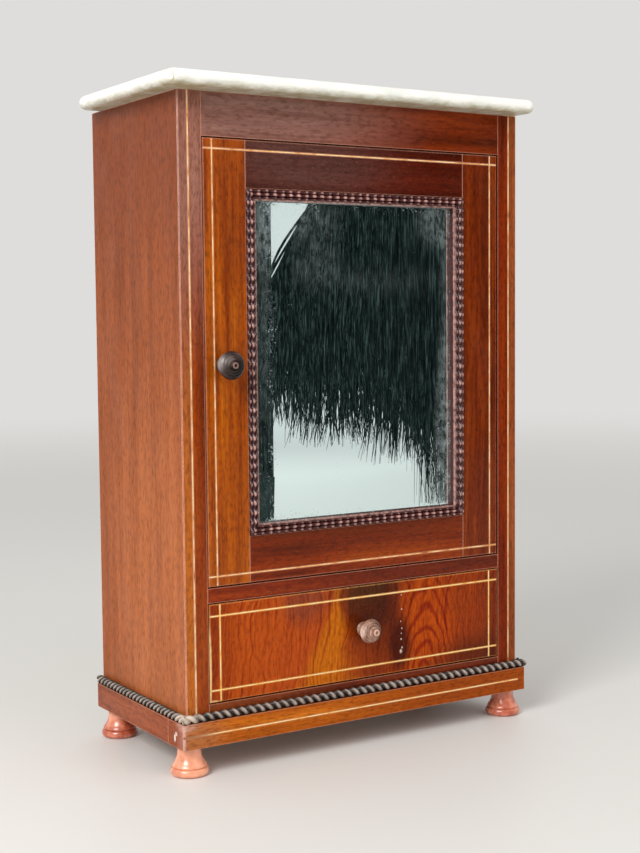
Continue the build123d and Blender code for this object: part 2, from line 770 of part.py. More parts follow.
def make_drawer():
    lines = strips(-drawer_half, drawer_half, drawer_front_bottom, drawer_front_top, drawer_string_inset)
    panel_half = drawer_inner + drawer_groove
    panel_front = drawer_front_thickness - drawer_groove
    panel_top = drawer_bottom_z + drawer_bottom_thickness
    back_top = drawer_side_top - drawer_back_drop
    back_front = drawer_length - drawer_back_thickness
    front_joint = (drawer_front_thickness, drawer_lap,
                   drawer_front_bottom, drawer_side_top, drawer_front_tails)
    back_joint = (back_front, drawer_length, panel_top, back_top, drawer_back_tails)
    with BuildPart() as drawer_front:
        block(-drawer_half, drawer_half, 0, drawer_front_thickness, drawer_front_bottom, drawer_front_top)
        chamfer(drawer_front.faces().sort_by(Axis.Y)[0].edges(), front_arris)
        for side in (-1, 1):
            dovetails(side, *front_joint, Mode.SUBTRACT)
        extrude(lines, amount=-string_depth, mode=Mode.SUBTRACT)
        block(-drawer_inner, drawer_inner, panel_front, drawer_front_thickness,
              drawer_bottom_z, panel_top, Mode.SUBTRACT)
        bore(0, drawer_knob_z, 0, drawer_knob_spigot_length, drawer_knob_spigot_radius)
    save(drawer_front, "drawer_front")

    with BuildPart() as drawer_stringing:
        extrude(lines, amount=-string_depth)
    save(drawer_stringing, "drawer_stringing")

    for hand, side in (("left", -1), ("right", 1)):
        edges = sorted((side * drawer_inner, side * drawer_half))
        with BuildPart() as drawer_side:
            block(*edges, drawer_front_thickness, drawer_length, drawer_side_bottom, drawer_side_top)
            block(*edges, back_front, drawer_length, panel_top, back_top, Mode.SUBTRACT)
            dovetails(side, *front_joint)
            dovetails(side, *back_joint)
            block(*sorted((side * drawer_inner, side * panel_half)), drawer_front_thickness, drawer_length,
                  drawer_bottom_z, panel_top, Mode.SUBTRACT)
        save(drawer_side, f"drawer_side_{hand}")

    with BuildPart() as drawer_back:
        block(-drawer_half, drawer_half, back_front, drawer_length, panel_top, back_top)
        for side in (-1, 1):
            dovetails(side, *back_joint, Mode.SUBTRACT)
    save(drawer_back, "drawer_back")

    # The bottom sits in grooves in the front and the sides and runs under the back.
    with BuildPart() as drawer_bottom:
        block(-drawer_inner, drawer_inner, panel_front, drawer_front_thickness, drawer_bottom_z, panel_top)
        block(-panel_half, panel_half, drawer_front_thickness, drawer_length, drawer_bottom_z, panel_top)
    save(drawer_bottom, "drawer_bottom")

    seat = turning(0, 0, drawer_knob_z)
    with BuildPart() as drawer_knob:
        with BuildSketch(seat):
            add(knob_outline(drawer_knob_collar_radius, drawer_knob_radius, drawer_knob_reach))
            make_face()
        revolve(axis=Axis(seat.origin, seat.y_dir))
        bore(0, drawer_knob_z, 0, drawer_knob_spigot_length, drawer_knob_spigot_radius, Mode.ADD)
    save(drawer_knob, "drawer_knob")


def make_drawer_runs():
    with BuildPart() as drawer_guides:
        for side in (-1, 1):
            edges = sorted((side * half_opening, side * side_inner))
            block(*edges, frame_thickness, back_depth, drawer_opening_z, drawer_opening_z + guide_height)
    save(drawer_guides, "drawer_guides")

    near = drawer_front_thickness + drawer_stop_gap
    with BuildPart() as drawer_stops:
        for middle in (-drawer_stop_spread, drawer_stop_spread):
            block(middle - drawer_stop_size / 2, middle + drawer_stop_size / 2,
                  near, near + drawer_stop_size,
                  drawer_opening_z, drawer_opening_z + drawer_stop_height)
    save(drawer_stops, "drawer_stops")


os.makedirs("parts", exist_ok=True)
make_marble_top()
make_sides_and_back()
make_front_frame()
make_boards()
make_plinth()
make_feet()
make_ropes()
make_door_frame()
make_pivots()
make_mirror()
make_ripples()
make_door_knob()
make_drawer()
make_drawer_runs()
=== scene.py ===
import math
import random

import bmesh
import bpy
from mathutils import Matrix, Vector, noise


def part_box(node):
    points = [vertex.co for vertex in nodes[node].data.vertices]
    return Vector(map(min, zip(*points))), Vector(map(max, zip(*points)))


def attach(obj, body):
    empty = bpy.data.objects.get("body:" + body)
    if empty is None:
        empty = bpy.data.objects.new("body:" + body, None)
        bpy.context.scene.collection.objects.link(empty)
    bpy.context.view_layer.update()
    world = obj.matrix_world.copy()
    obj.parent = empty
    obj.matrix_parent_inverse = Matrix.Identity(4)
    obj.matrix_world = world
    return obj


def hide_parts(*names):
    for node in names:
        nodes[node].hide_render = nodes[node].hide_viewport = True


# A miniature mahogany armoire: marble slab, mirrored door on pivots, one drawer, turned feet.
# Blender works in metres; sizes below are written in millimetres and multiplied by mm.
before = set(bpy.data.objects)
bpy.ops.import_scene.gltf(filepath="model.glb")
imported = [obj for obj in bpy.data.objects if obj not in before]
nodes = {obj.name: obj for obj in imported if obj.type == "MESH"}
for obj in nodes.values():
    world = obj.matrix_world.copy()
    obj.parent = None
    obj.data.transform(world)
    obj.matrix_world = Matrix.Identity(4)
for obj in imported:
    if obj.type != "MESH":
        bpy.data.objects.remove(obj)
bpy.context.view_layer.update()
mm = 0.001
print("frame loaded:", len(nodes), "nodes")


def linear(hexCode):
    # sRGB hex to the linear colour that shaders use
    channels = [int(hexCode[i:i + 2], 16) / 255 for i in (1, 3, 5)]
    return [c / 12.92 if c <= 0.04045 else ((c + 0.055) / 1.055) ** 2.4 for c in channels] + [1.0]


def feed(tree, node, inputs):
    # sets or links a node's inputs; a whole node stands for its first output in use
    for key, source in inputs.items():
        if isinstance(source, bpy.types.Node):
            source = next(output for output in source.outputs if output.enabled)
        if isinstance(source, bpy.types.NodeSocket):
            tree.links.new(source, node.inputs[key])
        else:
            node.inputs[key].default_value = linear(source) if isinstance(source, str) else source


def addNode(tree, kind, inputs=None, stops=(), **settings):
    # one shader node with its settings, the stops of its ramp and its inputs
    node = tree.nodes.new("ShaderNode" + kind)
    for key, value in settings.items():
        setattr(node, key, value)
    if stops:
        elements = node.color_ramp.elements
        while len(elements) < len(stops):
            elements.new(0.5)
        for element, (position, colour) in zip(elements, stops):
            element.position = position
            element.color = linear(colour) if isinstance(colour, str) else (colour, colour, colour, 1)
    feed(tree, node, inputs or {})
    return node


def chain(tree, kind, value, *steps, **settings):
    # nodes in a row; a step is an operation and what it takes besides the value so far
    for operation, *others in steps:
        value = addNode(tree, kind, dict(enumerate((value, *others))), operation=operation, **settings)
    return value


def newMaterial(name, shaderValues):
    material = bpy.data.materials.new(name)
    material.use_nodes = True
    tree = material.node_tree
    shader = tree.nodes["Principled BSDF"]
    feed(tree, shader, shaderValues)
    return material, tree, shader


def ranged(value, start, end, low=0.0, high=1.0):
    # the inputs that turn start to end into low to high
    return {"Value": value, "From Min": start, "From Max": end, "To Min": low, "To Max": high}


def millimetres(tree, stretch=(1, 1, 1), shift=(0, 0, 0)):
    # object coordinates in mm, drawn out by the stretch
    place = addNode(tree, "TexCoord").outputs["Object"]
    return addNode(tree, "Mapping", {"Vector": place, "Location": shift,
                                     "Scale": [1 / (mm * s) for s in stretch]})


def figure(tree, size, detail, roughness=0.5, distortion=0.0, shift=(0, 0, 0)):
    # noise with spots of a real size, in mm along x, y and z
    return addNode(tree, "TexNoise", {"Vector": millimetres(tree, size, shift), "Scale": 1.0,
                                      "Detail": detail, "Roughness": roughness, "Distortion": distortion})


def grainFigure(tree, size, axis, seed, detail, roughness=0.5, distortion=0.0):
    # noise drawn out along the grain; the size is across and along it, in mm
    stretch = [size[0]] * 3
    stretch[axis] = size[1]
    return figure(tree, stretch, detail, roughness, distortion, (seed, seed * 1.7, seed * 0.6))


def shade(tree, colour, factor, stops):
    # lays a ramp of the factor over a colour
    ramp = addNode(tree, "ValToRGB", {"Fac": factor}, stops)
    return addNode(tree, "Mix", {0: 1.0, 6: colour, 7: ramp}, data_type="RGBA", blend_type="MULTIPLY")


def tinted(tree, colour, tint, where, breakUp=None, **settings):
    # lays a tint over a colour, as much as a ranged value says, broken up by a figure
    amount = addNode(tree, "MapRange", where, **settings)
    if breakUp is not None:
        amount = chain(tree, "Math", amount, ("MULTIPLY", breakUp), use_clamp=True)
    return addNode(tree, "Mix", {0: amount, 6: colour, 7: tint}, data_type="RGBA")


def patch(tree, colour, spot, reach, soften, tint, amount, breakUp=None):
    # a soft patch of another tint round a spot given in metres; reach in mm along x, y and z
    away = chain(tree, "VectorMath", addNode(tree, "TexCoord").outputs["Object"], ("SUBTRACT", spot),
                 ("DIVIDE", [r * mm for r in reach]), ("LENGTH",))
    return tinted(tree, colour, tint, ranged(away, 1 - soften, 1 + soften, amount, 0.0), breakUp,
                  interpolation_type="SMOOTHSTEP")


def arrises(tree, radius, samples):
    # 1 on flat faces, less within the radius of an edge
    flat = addNode(tree, "NewGeometry").outputs["Normal"]
    rounded = addNode(tree, "Bevel", {"Radius": radius * mm}, samples=samples)
    return chain(tree, "VectorMath", rounded, ("DOT_PRODUCT", flat))


def addObject(name, data):
    thing = bpy.data.objects.new(name, data)
    bpy.context.scene.collection.objects.link(thing)
    return thing


def addTube(name, vertices, around, material, body, node, sharpAngle=35, wearAndHighlights=None):
    # rings of points, skinned and closed at both ends, which take the place of a node
    faces = []
    last = len(vertices) - around
    for start in range(0, last, around):
        for k in range(around):
            a, b = start + k, start + (k + 1) % around
            faces.append((a, b, b + around, a + around))
    faces += [tuple(range(around)), tuple(range(last, last + around))]
    mesh = bpy.data.meshes.new(name)
    mesh.from_pydata([tuple(v) for v in vertices], [], faces)
    if wearAndHighlights:  # how high each spot of a carving stands, 0 to 1, for its wear and its painted highlight
        mesh.attributes.new("crown", "FLOAT", "POINT").data.foreach_set("value", wearAndHighlights)
    bm = bmesh.new()
    bm.from_mesh(mesh)
    bmesh.ops.recalc_face_normals(bm, faces=bm.faces)
    bm.to_mesh(mesh)
    bm.free()
    mesh.polygons.foreach_set("use_smooth", [True] * len(mesh.polygons))
    mesh.set_sharp_from_angle(angle=math.radians(sharpAngle))
    mesh.materials.append(material)
    piece = addObject(name, mesh)
    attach(piece, body)
    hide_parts(node)


def smoothRun(points, steps=6):
    # a Catmull-Rom curve through the points, ends included
    run = []
    last = len(points) - 1
    for i in range(last):
        around = points[max(i - 1, 0)], points[i], points[i + 1], points[min(i + 2, last)]
        for step in range(steps):
            t = step / steps
            run.append(tuple(
                0.5 * (2 * b + (c - a) * t + (2 * a - 5 * b + 4 * c - d) * t * t
                       + (3 * b - a - 3 * c + d) * t ** 3)
                for a, b, c, d in zip(*around)))
    return run + [points[last]]


def turnOnLathe(node, stretches, place, axis, material, body, wobble):
    # Stretches are runs of (radius, distance along the axis), each from the end of the one before.
    # Corners between them stay sharp.
    outline = []
    for points in stretches:
        points = outline[-1:] + points
        run = smoothRun(points) if len(points) > 2 else points
        outline += run[1:] if outline else run
    segments = 96
    thinnest = 0.001
    along = Vector(axis)
    side = along.orthogonal().normalized()
    across = along.cross(side)
    vertices = []
    for radius, distance in outline:
        for k in range(segments):
            angle = 2 * math.pi * k / segments
            spot = side * math.cos(angle) + across * math.sin(angle)
            uneven = 1 + wobble * noise.noise(spot * 1.7 + along * distance * 0.3)
            vertices.append(place + (spot * max(radius, thinnest) * uneven + along * distance) * mm)
    addTube(node + "Turned", vertices, segments, material, body, node)


def centreOf(node):
    low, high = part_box(node)
    return (low + high) / 2


# places that the pieces share, read from the frame
sideLow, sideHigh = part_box("side_left")
plinthLow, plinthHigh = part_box("plinth_front")
mirrorLow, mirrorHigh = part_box("ripple_bottom")[0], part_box("ripple_top")[1]
frontY = sideLow.y
leftX = sideLow.x
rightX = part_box("side_right")[1].x
middleX = (leftX + rightX) / 2
ledgeZ = plinthHigh.z
topZ = sideHigh.z


# camera
camera = {
    "place": (-0.5469, -0.8734, 0.2927),
    "turnRight": 32.31,  # degrees from straight ahead
    "lookDown": 4.28,
    "roll": -0.53,
    "lens": 61.9,  # mm, on a 36 mm long side
}


def setUpCamera():
    data = bpy.data.cameras.new("camera")
    data.lens = camera["lens"]
    data.sensor_width = 36
    eye = addObject("camera", data)
    eye.matrix_world = (
        Matrix.Translation(camera["place"])
        @ Matrix.Rotation(math.radians(-camera["turnRight"]), 4, "Z")
        @ Matrix.Rotation(math.radians(90 - camera["lookDown"]), 4, "X")
        @ Matrix.Rotation(math.radians(camera["roll"]), 4, "Z")
    )
    bpy.context.scene.camera = eye


setUpCamera()
print("camera set")


# floor, backdrop and light
studio = {
    "floorColour": "#e4e2de",
    "backdropColour": "#dedddb",
    "floorEnds": (0.9, 3.6),  # m from the object, where the floor runs into the backdrop
    "glowColour": "#f4f4f2",
    "lightLevel": 0.68,  # what the world gives to the object
    "lamps": {  # watts, size and place in m
        "key": (27, 0.8, (-1.45, -0.75, 1.2)),
        "fill": (8, 1.2, (0.7, -1.8, 1.0)),
    },
    "lampsAim": (0, 0, 0.22),
}


def seenByEye(tree):
    # 1 for what the camera sees, straight, in a mirror or through glass; 0 for what lights the object
    path = addNode(tree, "LightPath").outputs
    return chain(tree, "Math", path["Is Camera Ray"], ("ADD", path["Is Glossy Ray"]),
                 ("ADD", path["Is Transmission Ray"]), use_clamp=True)


def setUpWorld():
    world = bpy.data.worlds.new("studio")
    bpy.context.scene.world = world
    world.use_nodes = True
    tree = world.node_tree
    tree.nodes.clear()
    glow = addNode(tree, "Background", {"Color": studio["glowColour"], "Strength": studio["lightLevel"]})
    wall = addNode(tree, "Background", {"Color": studio["backdropColour"], "Strength": 1.0})
    mix = addNode(tree, "MixShader", {0: seenByEye(tree), 1: glow, 2: wall})
    addNode(tree, "OutputWorld", {"Surface": mix})


def setUpFloor():
    paint = {"Roughness": 0.5, "Base Color": studio["floorColour"]}
    material, tree, shader = newMaterial("floorPaintMatt", paint)
    away = chain(tree, "VectorMath", addNode(tree, "TexCoord").outputs["Object"], ("LENGTH",))
    far = addNode(tree, "MapRange", ranged(away, *studio["floorEnds"]), interpolation_type="SMOOTHSTEP")
    far = chain(tree, "Math", far, ("MULTIPLY", seenByEye(tree)))
    wall = addNode(tree, "Emission", {"Color": studio["backdropColour"], "Strength": 1.0})
    mix = addNode(tree, "MixShader", {0: far, 1: shader, 2: wall})
    feed(tree, tree.nodes["Material Output"], {"Surface": mix})
    bpy.ops.mesh.primitive_circle_add(vertices=64, radius=14, fill_type="NGON")
    floor = bpy.context.object
    floor.name = "floor"
    floor.data.materials.append(material)


def hangLamps():
    for name, (watts, size, place) in studio["lamps"].items():
        data = bpy.data.lights.new(name + "Light", "AREA")
        data.energy = watts
        data.size = size
        lamp = addObject(name + "Light", data)
        lamp.location = place
        lamp.rotation_euler = (Vector(studio["lampsAim"]) - Vector(place)).to_track_quat("-Z", "Y").to_euler()
        lamp.visible_glossy = name == "key"  # the fill would show as a bright square in the mirror


setUpWorld()
setUpFloor()
hangLamps()
bpy.context.scene.view_settings.view_transform = "Standard"
print("studio set")


# a dark screen out of view, fringed with black raffia, for the mirror and the polish to reflect, and a dark
# sheet on the floor as a painted shadow
screen = {  # places in m
    "tones": [(0.36, "#060a0b"), (0.52, "#1c2625"), (0.68, "#54645f")],
    "streaks": (3.2, 4, 60),  # mm
    "distance": 1.5,  # in front of the door
    "top": 1.4,
    "panels": ((-1.2, 0.804), (1.5, 2.6)),  # from, to
    # corners of a dark sheet on the floor, a painted shadow of the left panel, seen only in reflections
    "shadow": ((0.806, -1.52), (0.466, -0.947), (0.30, -0.947), (0.55, -1.52)),
    "heading": (0.62, 0.12, 0.1),  # the cloth that holds the raffia: lowest height, shift right, flare upward
    "strands": 2200,
    "left": 0.945,  # where the raffia begins
    "right": 1.52,
    "crowding": 1.35,  # over 1 packs it to the left
    "high": 0.60,
    "low": 0.06,
    "ends": 0.06,  # how unevenly it ends
    "bulge": 0.16,  # how far its left side swings out
    "bulgeFades": 0.09,
    "lifted": (0.98, 0.03),  # left of this it ends higher by this much
    "swagDepth": 0.015,
    "swagPace": 29,
    "sagFrom": 1.09,
    "sag": 0.06,
    "width": (0.003, 0.007),
    "drift": 0.03,
    "curl": 0.012,
    "twist": (4, 9),
    "floorGap": 0.004,
    # a nearer tuft that hangs down to the floor
    "tuft": {"strands": 260, "left": 0.74, "right": 0.85, "high": 0.5, "low": 0.15, "slant": 0.3,
             "ends": 0.03, "width": 0.0045, "nearer": 0.45},
}


def hangScreen():
    rng = random.Random(7)
    corners, faces = [], []

    def ribbon(points, depth):
        # points are (x, z, width)
        first = len(corners)
        for x, z, width in points:
            corners.extend((x + side * width, -screen["distance"] - depth, z) for side in (-0.5, 0.5))
        faces.extend((a, a + 1, a + 3, a + 2) for a in range(first, len(corners) - 2, 2))

    for left, right in screen["panels"]:
        ribbon([((left + right) / 2, height, right - left) for height in (0.0, screen["top"])], 0.02)
    # the painted shadow sheet
    faces.append(tuple(range(len(corners), len(corners) + 4)))
    corners.extend((x, y, 0.002) for x, y in screen["shadow"])
    left, high = screen["left"], screen["high"]
    reach = screen["right"] - left
    lowest, shift, flare = screen["heading"]
    middle = (left + screen["right"]) / 2 + shift
    ribbon([(middle, lowest, reach), (middle, screen["top"], reach + flare)], 0.1)
    liftTo, lift = screen["lifted"]
    for count in range(screen["strands"]):
        x = left + reach * ((count + rng.random()) / screen["strands"]) ** screen["crowding"]
        swing = screen["bulge"] * math.exp((left - x) / screen["bulgeFades"]) + rng.uniform(-0.003, 0.003)
        curl, twist = rng.gauss(0, screen["curl"]), rng.uniform(*screen["twist"])
        drift = rng.gauss(0, screen["drift"])
        end = screen["low"] + abs(rng.gauss(0, screen["ends"]))
        end -= screen["sag"] if x > screen["sagFrom"] else 0
        swag = screen["swagDepth"] * math.sin(x * screen["swagPace"])
        end = max(end + (lift if x < liftTo else swag), screen["floorGap"])
        width = rng.uniform(*screen["width"])
        points = []
        for step in range(19):
            t = step / 18  # down the strand, which thins towards its end
            thin = width * (1 if t < 0.6 else 1 - 2.1 * (t - 0.6))
            bend = drift * t ** 3 + curl * t * t * math.sin(twist * t)
            sway = math.sin(math.pi / 2 * min((t + 0.06) / 0.88, 1)) ** 2
            points.append((x - swing * sway + bend, high + (end - high) * t, thin))
        ribbon(points, rng.random() * 0.06)
    tuft = screen["tuft"]
    for _ in range(tuft["strands"]):
        share = rng.random() ** 0.6
        x = tuft["left"] + (tuft["right"] - tuft["left"]) * share
        end = max(tuft["low"] - tuft["slant"] * share + rng.gauss(0, tuft["ends"]), screen["floorGap"])
        curl, twist = rng.gauss(0, screen["curl"]), rng.uniform(*screen["twist"])
        points = [(x + curl * t * math.sin(twist * t), tuft["high"] + (end - tuft["high"]) * t,
                   tuft["width"] * (1.1 - t)) for t in (step / 8 for step in range(9))]
        ribbon(points, -tuft["nearer"] - rng.random() * 0.04)
    material, tree, shader = newMaterial("screenBlackAndPaintedShadow", {"Roughness": 1.0, "Specular IOR Level": 0.0})
    streaks = figure(tree, screen["streaks"], 5.0, 0.75)
    feed(tree, shader, {"Base Color": addNode(tree, "ValToRGB", {"Fac": streaks}, screen["tones"])})
    mesh = bpy.data.meshes.new("screen")
    mesh.from_pydata(corners, [], faces)
    mesh.materials.append(material)
    curtain = addObject("screen", mesh)
    curtain.visible_camera = curtain.visible_diffuse = curtain.visible_shadow = False


hangScreen()
print("dark screen hung")


# mahogany, french polished: fine dark pores, soft ribbons along the grain, a satin gloss,
# paler and pinker where the arrises have rubbed
mahoganyLook = {
    # each figure across and along the grain, mm
    "pores": (0.45, 5.5),  # real pores are under 0.2 mm wide and would not show
    "lines": (1.1, 55.0),
    "ribbons": (9.0, 150.0),
    "mottle": (1.9, 5.0),
    "specks": (0.7, 1.12),
    "ragged": (2.5, 7.0),  # edge of the wear
    "handlingAndPaintedLight": (18.0, 40.0),
    # a board's own values go before these
    "swirl": 0.0,
    "patches": (),
    "poreDarkness": 0.42,
    "lineDarkness": 0.22,
    "mottleColour": "#dcd4cc",
    "speckColour": "#b98a6c",
    "wornEdge": 0.9,  # mm from an arris
    "wornColour": "#c48a72",
    "gloss": 0.2,  # old thin polish reflects less than fresh lacquer
    "poreDepth": 0.06,  # mm
    "handledDepth": 0.12,
}


def polishMahogany(tree, shader, colour, axis, seed, look):
    # grain lines, pores, specks and worn arrises over the wood's own colour, then the polish
    lines = grainFigure(tree, look["lines"], axis, seed, 4.0, 0.62)
    pores = grainFigure(tree, look["pores"], axis, seed + 3, 1.0)
    specks = grainFigure(tree, look["specks"], axis, seed + 9, 2.0)
    mottle = grainFigure(tree, look["mottle"], axis, seed + 15, 3.0)
    ragged = grainFigure(tree, look["ragged"], axis, seed + 20, 4.0, 0.7)
    handlingAndPaintedLight = grainFigure(tree, look["handlingAndPaintedLight"], axis, seed + 31, 3.0)
    colour = shade(tree, colour, lines, [(0.36, 1 - look["lineDarkness"]), (0.50, 0.96), (0.64, 1.0)])
    colour = shade(tree, colour, pores, [(0.31, 1 - look["poreDarkness"]), (0.43, 1.0)])
    colour = shade(tree, colour, mottle, [(0.33, look["mottleColour"]), (0.52, 1.0)])
    colour = tinted(tree, colour, look["speckColour"], ranged(specks, 0.66, 0.80, 0.0, 0.35))
    # pale arrises: rubbed wear, and on some boards also a painted highlight where the edge catches the light
    rubbed = ranged(arrises(tree, look["wornEdge"], 4), 0.99, 0.86, 0.0, 2.2)
    colour = tinted(tree, colour, look["wornColour"], rubbed, ragged)
    roughness = look["roughness"]
    dull = addNode(tree, "MapRange", ranged(handlingAndPaintedLight, 0.3, 0.7, roughness - 0.07, roughness + 0.09))
    bump = addNode(tree, "Bump", {"Strength": 0.35, "Distance": look["poreDepth"] * mm, "Height": pores})
    bump = addNode(tree, "Bump", {"Strength": 0.2, "Distance": look["handledDepth"] * mm, "Height": handlingAndPaintedLight,
                                  "Normal": bump})
    feed(tree, shader, {"Base Color": colour, "Roughness": dull, "Normal": bump})


def makeMahogany(name, board, seed):
    look = {**mahoganyLook, **board}
    material, tree, shader = newMaterial(name, {"IOR": 1.5, "Specular IOR Level": look["gloss"]})
    axis = "xyz".index(look["grain"])
    ribbons = grainFigure(tree, look["ribbons"], axis, seed, 3.0, 0.6, look["swirl"])
    colour = addNode(tree, "ValToRGB", {"Fac": ribbons}, list(zip((0.30, 0.50, 0.72), look["tones"])))
    for spot, reach, tint, amount in look["patches"]:
        colour = patch(tree, colour, spot, reach, 0.7, tint, amount * 1.8, ribbons)
    polishMahogany(tree, shader, colour, axis, seed, look)
    return material


def dress(material, *names):
    for name in names:
        materials = nodes[name].data.materials
        materials.clear()
        materials.append(material)


# Each board's three tones, the way its grain runs, and patches of painted sheen, painted light and shade,
# lighter or darker tints, wear and a chip: (where, how far along x, y and z in mm, tint, strength)
sideTones = ("#843e14", "#974a1d", "#a85727")
plinthSideTones = ("#7d3414", "#9b4a24", "#b75f32")
boards = {
    "side_left": {"tones": sideTones, "grain": "z", "roughness": 0.42, "lineDarkness": 0.15,
                  # the pale pink arris is rubbed wear and a painted highlight where the edge catches the
                  # light
                  "wornColour": "#e4b8a8", "patches": [
        # painted light low down and painted shade higher up and at the front top, as light from the floor
        # falls on this side
        ((leftX, frontY + 0.03, 0.10), (30, 80, 130), "#c06c38", 0.8),
        ((leftX, frontY + 0.09, topZ), (30, 120, 90), "#743214", 0.6),
        ((leftX, frontY + 0.008, topZ), (30, 26, 90), "#7c3a1c", 0.4),
        # its front edge: a painted greyish sheen near the top, plainer orange lower down
        ((leftX + 0.003, frontY, topZ), (9, 1.0, 120), "#966050", 1.2),
        ((leftX + 0.0035, frontY, 0.12), (3.4, 1.0, 110), "#b8621c", 1.3)]},
    "side_right": {"tones": sideTones, "grain": "z", "roughness": 0.40},
    "stile_left": {"tones": ("#612303", "#8b3404", "#a44707"), "grain": "z", "roughness": 0.30, "patches": [
        # painted greyish sheen at the top left, where the polish reflects light
        ((leftX + 0.012, frontY, topZ), (30, 30, 110), "#a06c5c", 1.1)]},
    "stile_right": {"tones": ("#551701", "#802701", "#963602"), "grain": "z", "roughness": 0.3, "gloss": 0.1},
    "top_rail": {"tones": ("#521b01", "#7a2801", "#9a3a02"), "grain": "x", "roughness": 0.26,
                 "poreDarkness": 0.25, "patches": [
        # painted purplish-grey sheen towards the left end, where the polish reflects light
        ((leftX + 0.05, frontY, topZ - 0.012), (95, 30, 26), "#986e63", 0.95)]},
    "mid_rail": {"tones": ("#5a1b02", "#882b02", "#a23f05"), "grain": "x", "roughness": 0.30, "patches": [
        ((middleX + 0.02, frontY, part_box("mid_rail")[0].z), (80, 30, 30), "#64200a", 0.6)]},
    "bottom_rail": {"tones": ("#481304", "#6f2307", "#84330d"), "grain": "x", "roughness": 0.30, "patches": [
        ((leftX, frontY, ledgeZ), (90, 30, 30), "#a04e1c", 0.7)]},
    "plinth_front": {"tones": ("#9c4a0c", "#bc5e10", "#d4761c"), "grain": "x", "roughness": 0.32,
                     "gloss": 0.1, "patches": [
        ((rightX - 0.04, plinthLow.y, plinthLow.z), (90, 30, 40), "#984006", 0.9),
        ((plinthLow.x + 0.004, plinthLow.y, plinthLow.z + 0.006), (22, 5, 14), "#b06c40", 0.9),
        ((plinthLow.x, plinthLow.y + 0.012, plinthLow.z + 0.008), (2, 16, 20), "#9a4c28", 1.2),
        ((plinthLow.x, plinthLow.y + 0.003, plinthLow.z + 0.008), (3, 5, 20), "#bc7c6a", 0.6),
        ((plinthLow.x, plinthLow.y, ledgeZ), (9, 9, 4), "#dcae9c", 0.7),
        ((plinthLow.x, plinthLow.y, plinthLow.z + 0.008), (1.3, 1.3, 14), "#e8b8a6", 1.0),
        ((plinthLow.x, plinthLow.y + 0.0125, ledgeZ - 0.0105), (4, 1.0, 2.0), "#f4e8de", 1.4),
        ((plinthLow.x, plinthLow.y + 0.0105, ledgeZ - 0.0075), (4, 1.3, 1.2), "#f0d8cc", 1.2)]},
    "plinth_left": {"tones": plinthSideTones, "grain": "y", "roughness": 0.36},
    "plinth_right": {"tones": plinthSideTones, "grain": "y", "roughness": 0.36},
    "door_stile_left": {"tones": ("#7a2c01", "#a44a02", "#c06304"), "grain": "z", "roughness": 0.28,
                        "lineDarkness": 0.3},
    "door_stile_right": {"tones": ("#521902", "#732702", "#903b03"), "grain": "z", "roughness": 0.26,
                         "swirl": 1.6, "lineDarkness": 0.12},
    "door_rail_top": {"tones": ("#360c02", "#501303", "#621b04"), "grain": "x", "roughness": 0.24,
                      "poreDarkness": 0.25, "patches": [
        # painted greyish sheen on the left part of the rail
        ((leftX + 0.09, frontY, topZ - 0.04), (60, 30, 24), "#5c403a", 0.6)]},
    "door_rail_bottom": {"tones": ("#551700", "#862d01", "#9f4102"), "grain": "x", "roughness": 0.27,
                         "patches": [
        ((middleX, frontY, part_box("door_rail_bottom")[1].z), (130, 30, 14), "#5e1f05", 0.7)]},
}
for count, (name, board) in enumerate(boards.items()):
    dress(makeMahogany(name + "MahoganyPolished", board, 13.7 * count), name)
print("mahogany dressed")


# drawer front: crotch veneer, a golden flame left of the knob, arches right of it
crotch = {
    "ground": [(0.00, "#98380a"), (0.12, "#bc5010"), (0.30, "#b84c14"), (0.44, "#ae480c"), (0.56, "#82300a"),
               (0.66, "#963a07"), (0.90, "#9e3c0b"), (1.00, "#7c2c0d")],
    "swirlSize": 34,  # mm
    "swirlReach": (20, 0, 14),
    "flame": "#c96c08",
    "flameApex": (-21.0, 24.0, 3.0),  # mm across and up from the drawer's middle, half width
    "flameBase": (-31.0, -32.0, 26.0),
    "arch": "#bd4c02",
    "archLines": [(0.02, "#c89078"), (0.24, "#ecd4c4"), (0.5, 1.0)],
    "archMiddle": (53.0, 0, -70.0),  # mm from the drawer's middle
    "archReach": (21.0, 39.0),  # mm, where the arches begin to fade and where they end
    "archTall": 0.27,  # the smaller, the steeper the arches
    "archPitch": 3.6,
    "archBend": (16, 4.5),  # mm, size of the bends and how far they go
    "stripe": (2.4, 1, 110),  # mm across and up
    "lean": 0.14,  # of the stripes
    # darker clouds: mm across and up, reach across and up, softness, tint, strength
    "clouds": ((5, 20, 20, 25, 0.4, "#3f170a", 0.85), (2, 31, 26, 11, 0.6, "#472a12", 0.5),
               (31, -12, 9, 19, 0.5, "#3c0a03", 0.9), (24, 16, 7, 22, 0.6, "#4f1a08", 0.6),
               (98, -32, 38, 16, 0.6, "#4c1a0a", 0.7), (-46, 26, 16, 14, 0.6, "#74392a", 0.6)),
    # pale flecks in a line beside the knob: mm up, reach
    "flecks": ((22, 0.35), (12, 0.4), (3.5, 0.3), (-1.5, 0.42), (-5, 0.3), (-9, 0.5), (-15, 0.55),
               (-17.5, 0.95)),
    "fleckLine": 32.6,
    "fleckColour": "#ecd8c8",
    "grain": "z",
    "roughness": 0.24,
    "gloss": 0.1,
    "poreDarkness": 0.25,
    # yellow on the arrises: rubbed wear, and a painted highlight where the left edges catch the light
    "wornColour": "#e0a05c",
    "seed": 71.0,
}


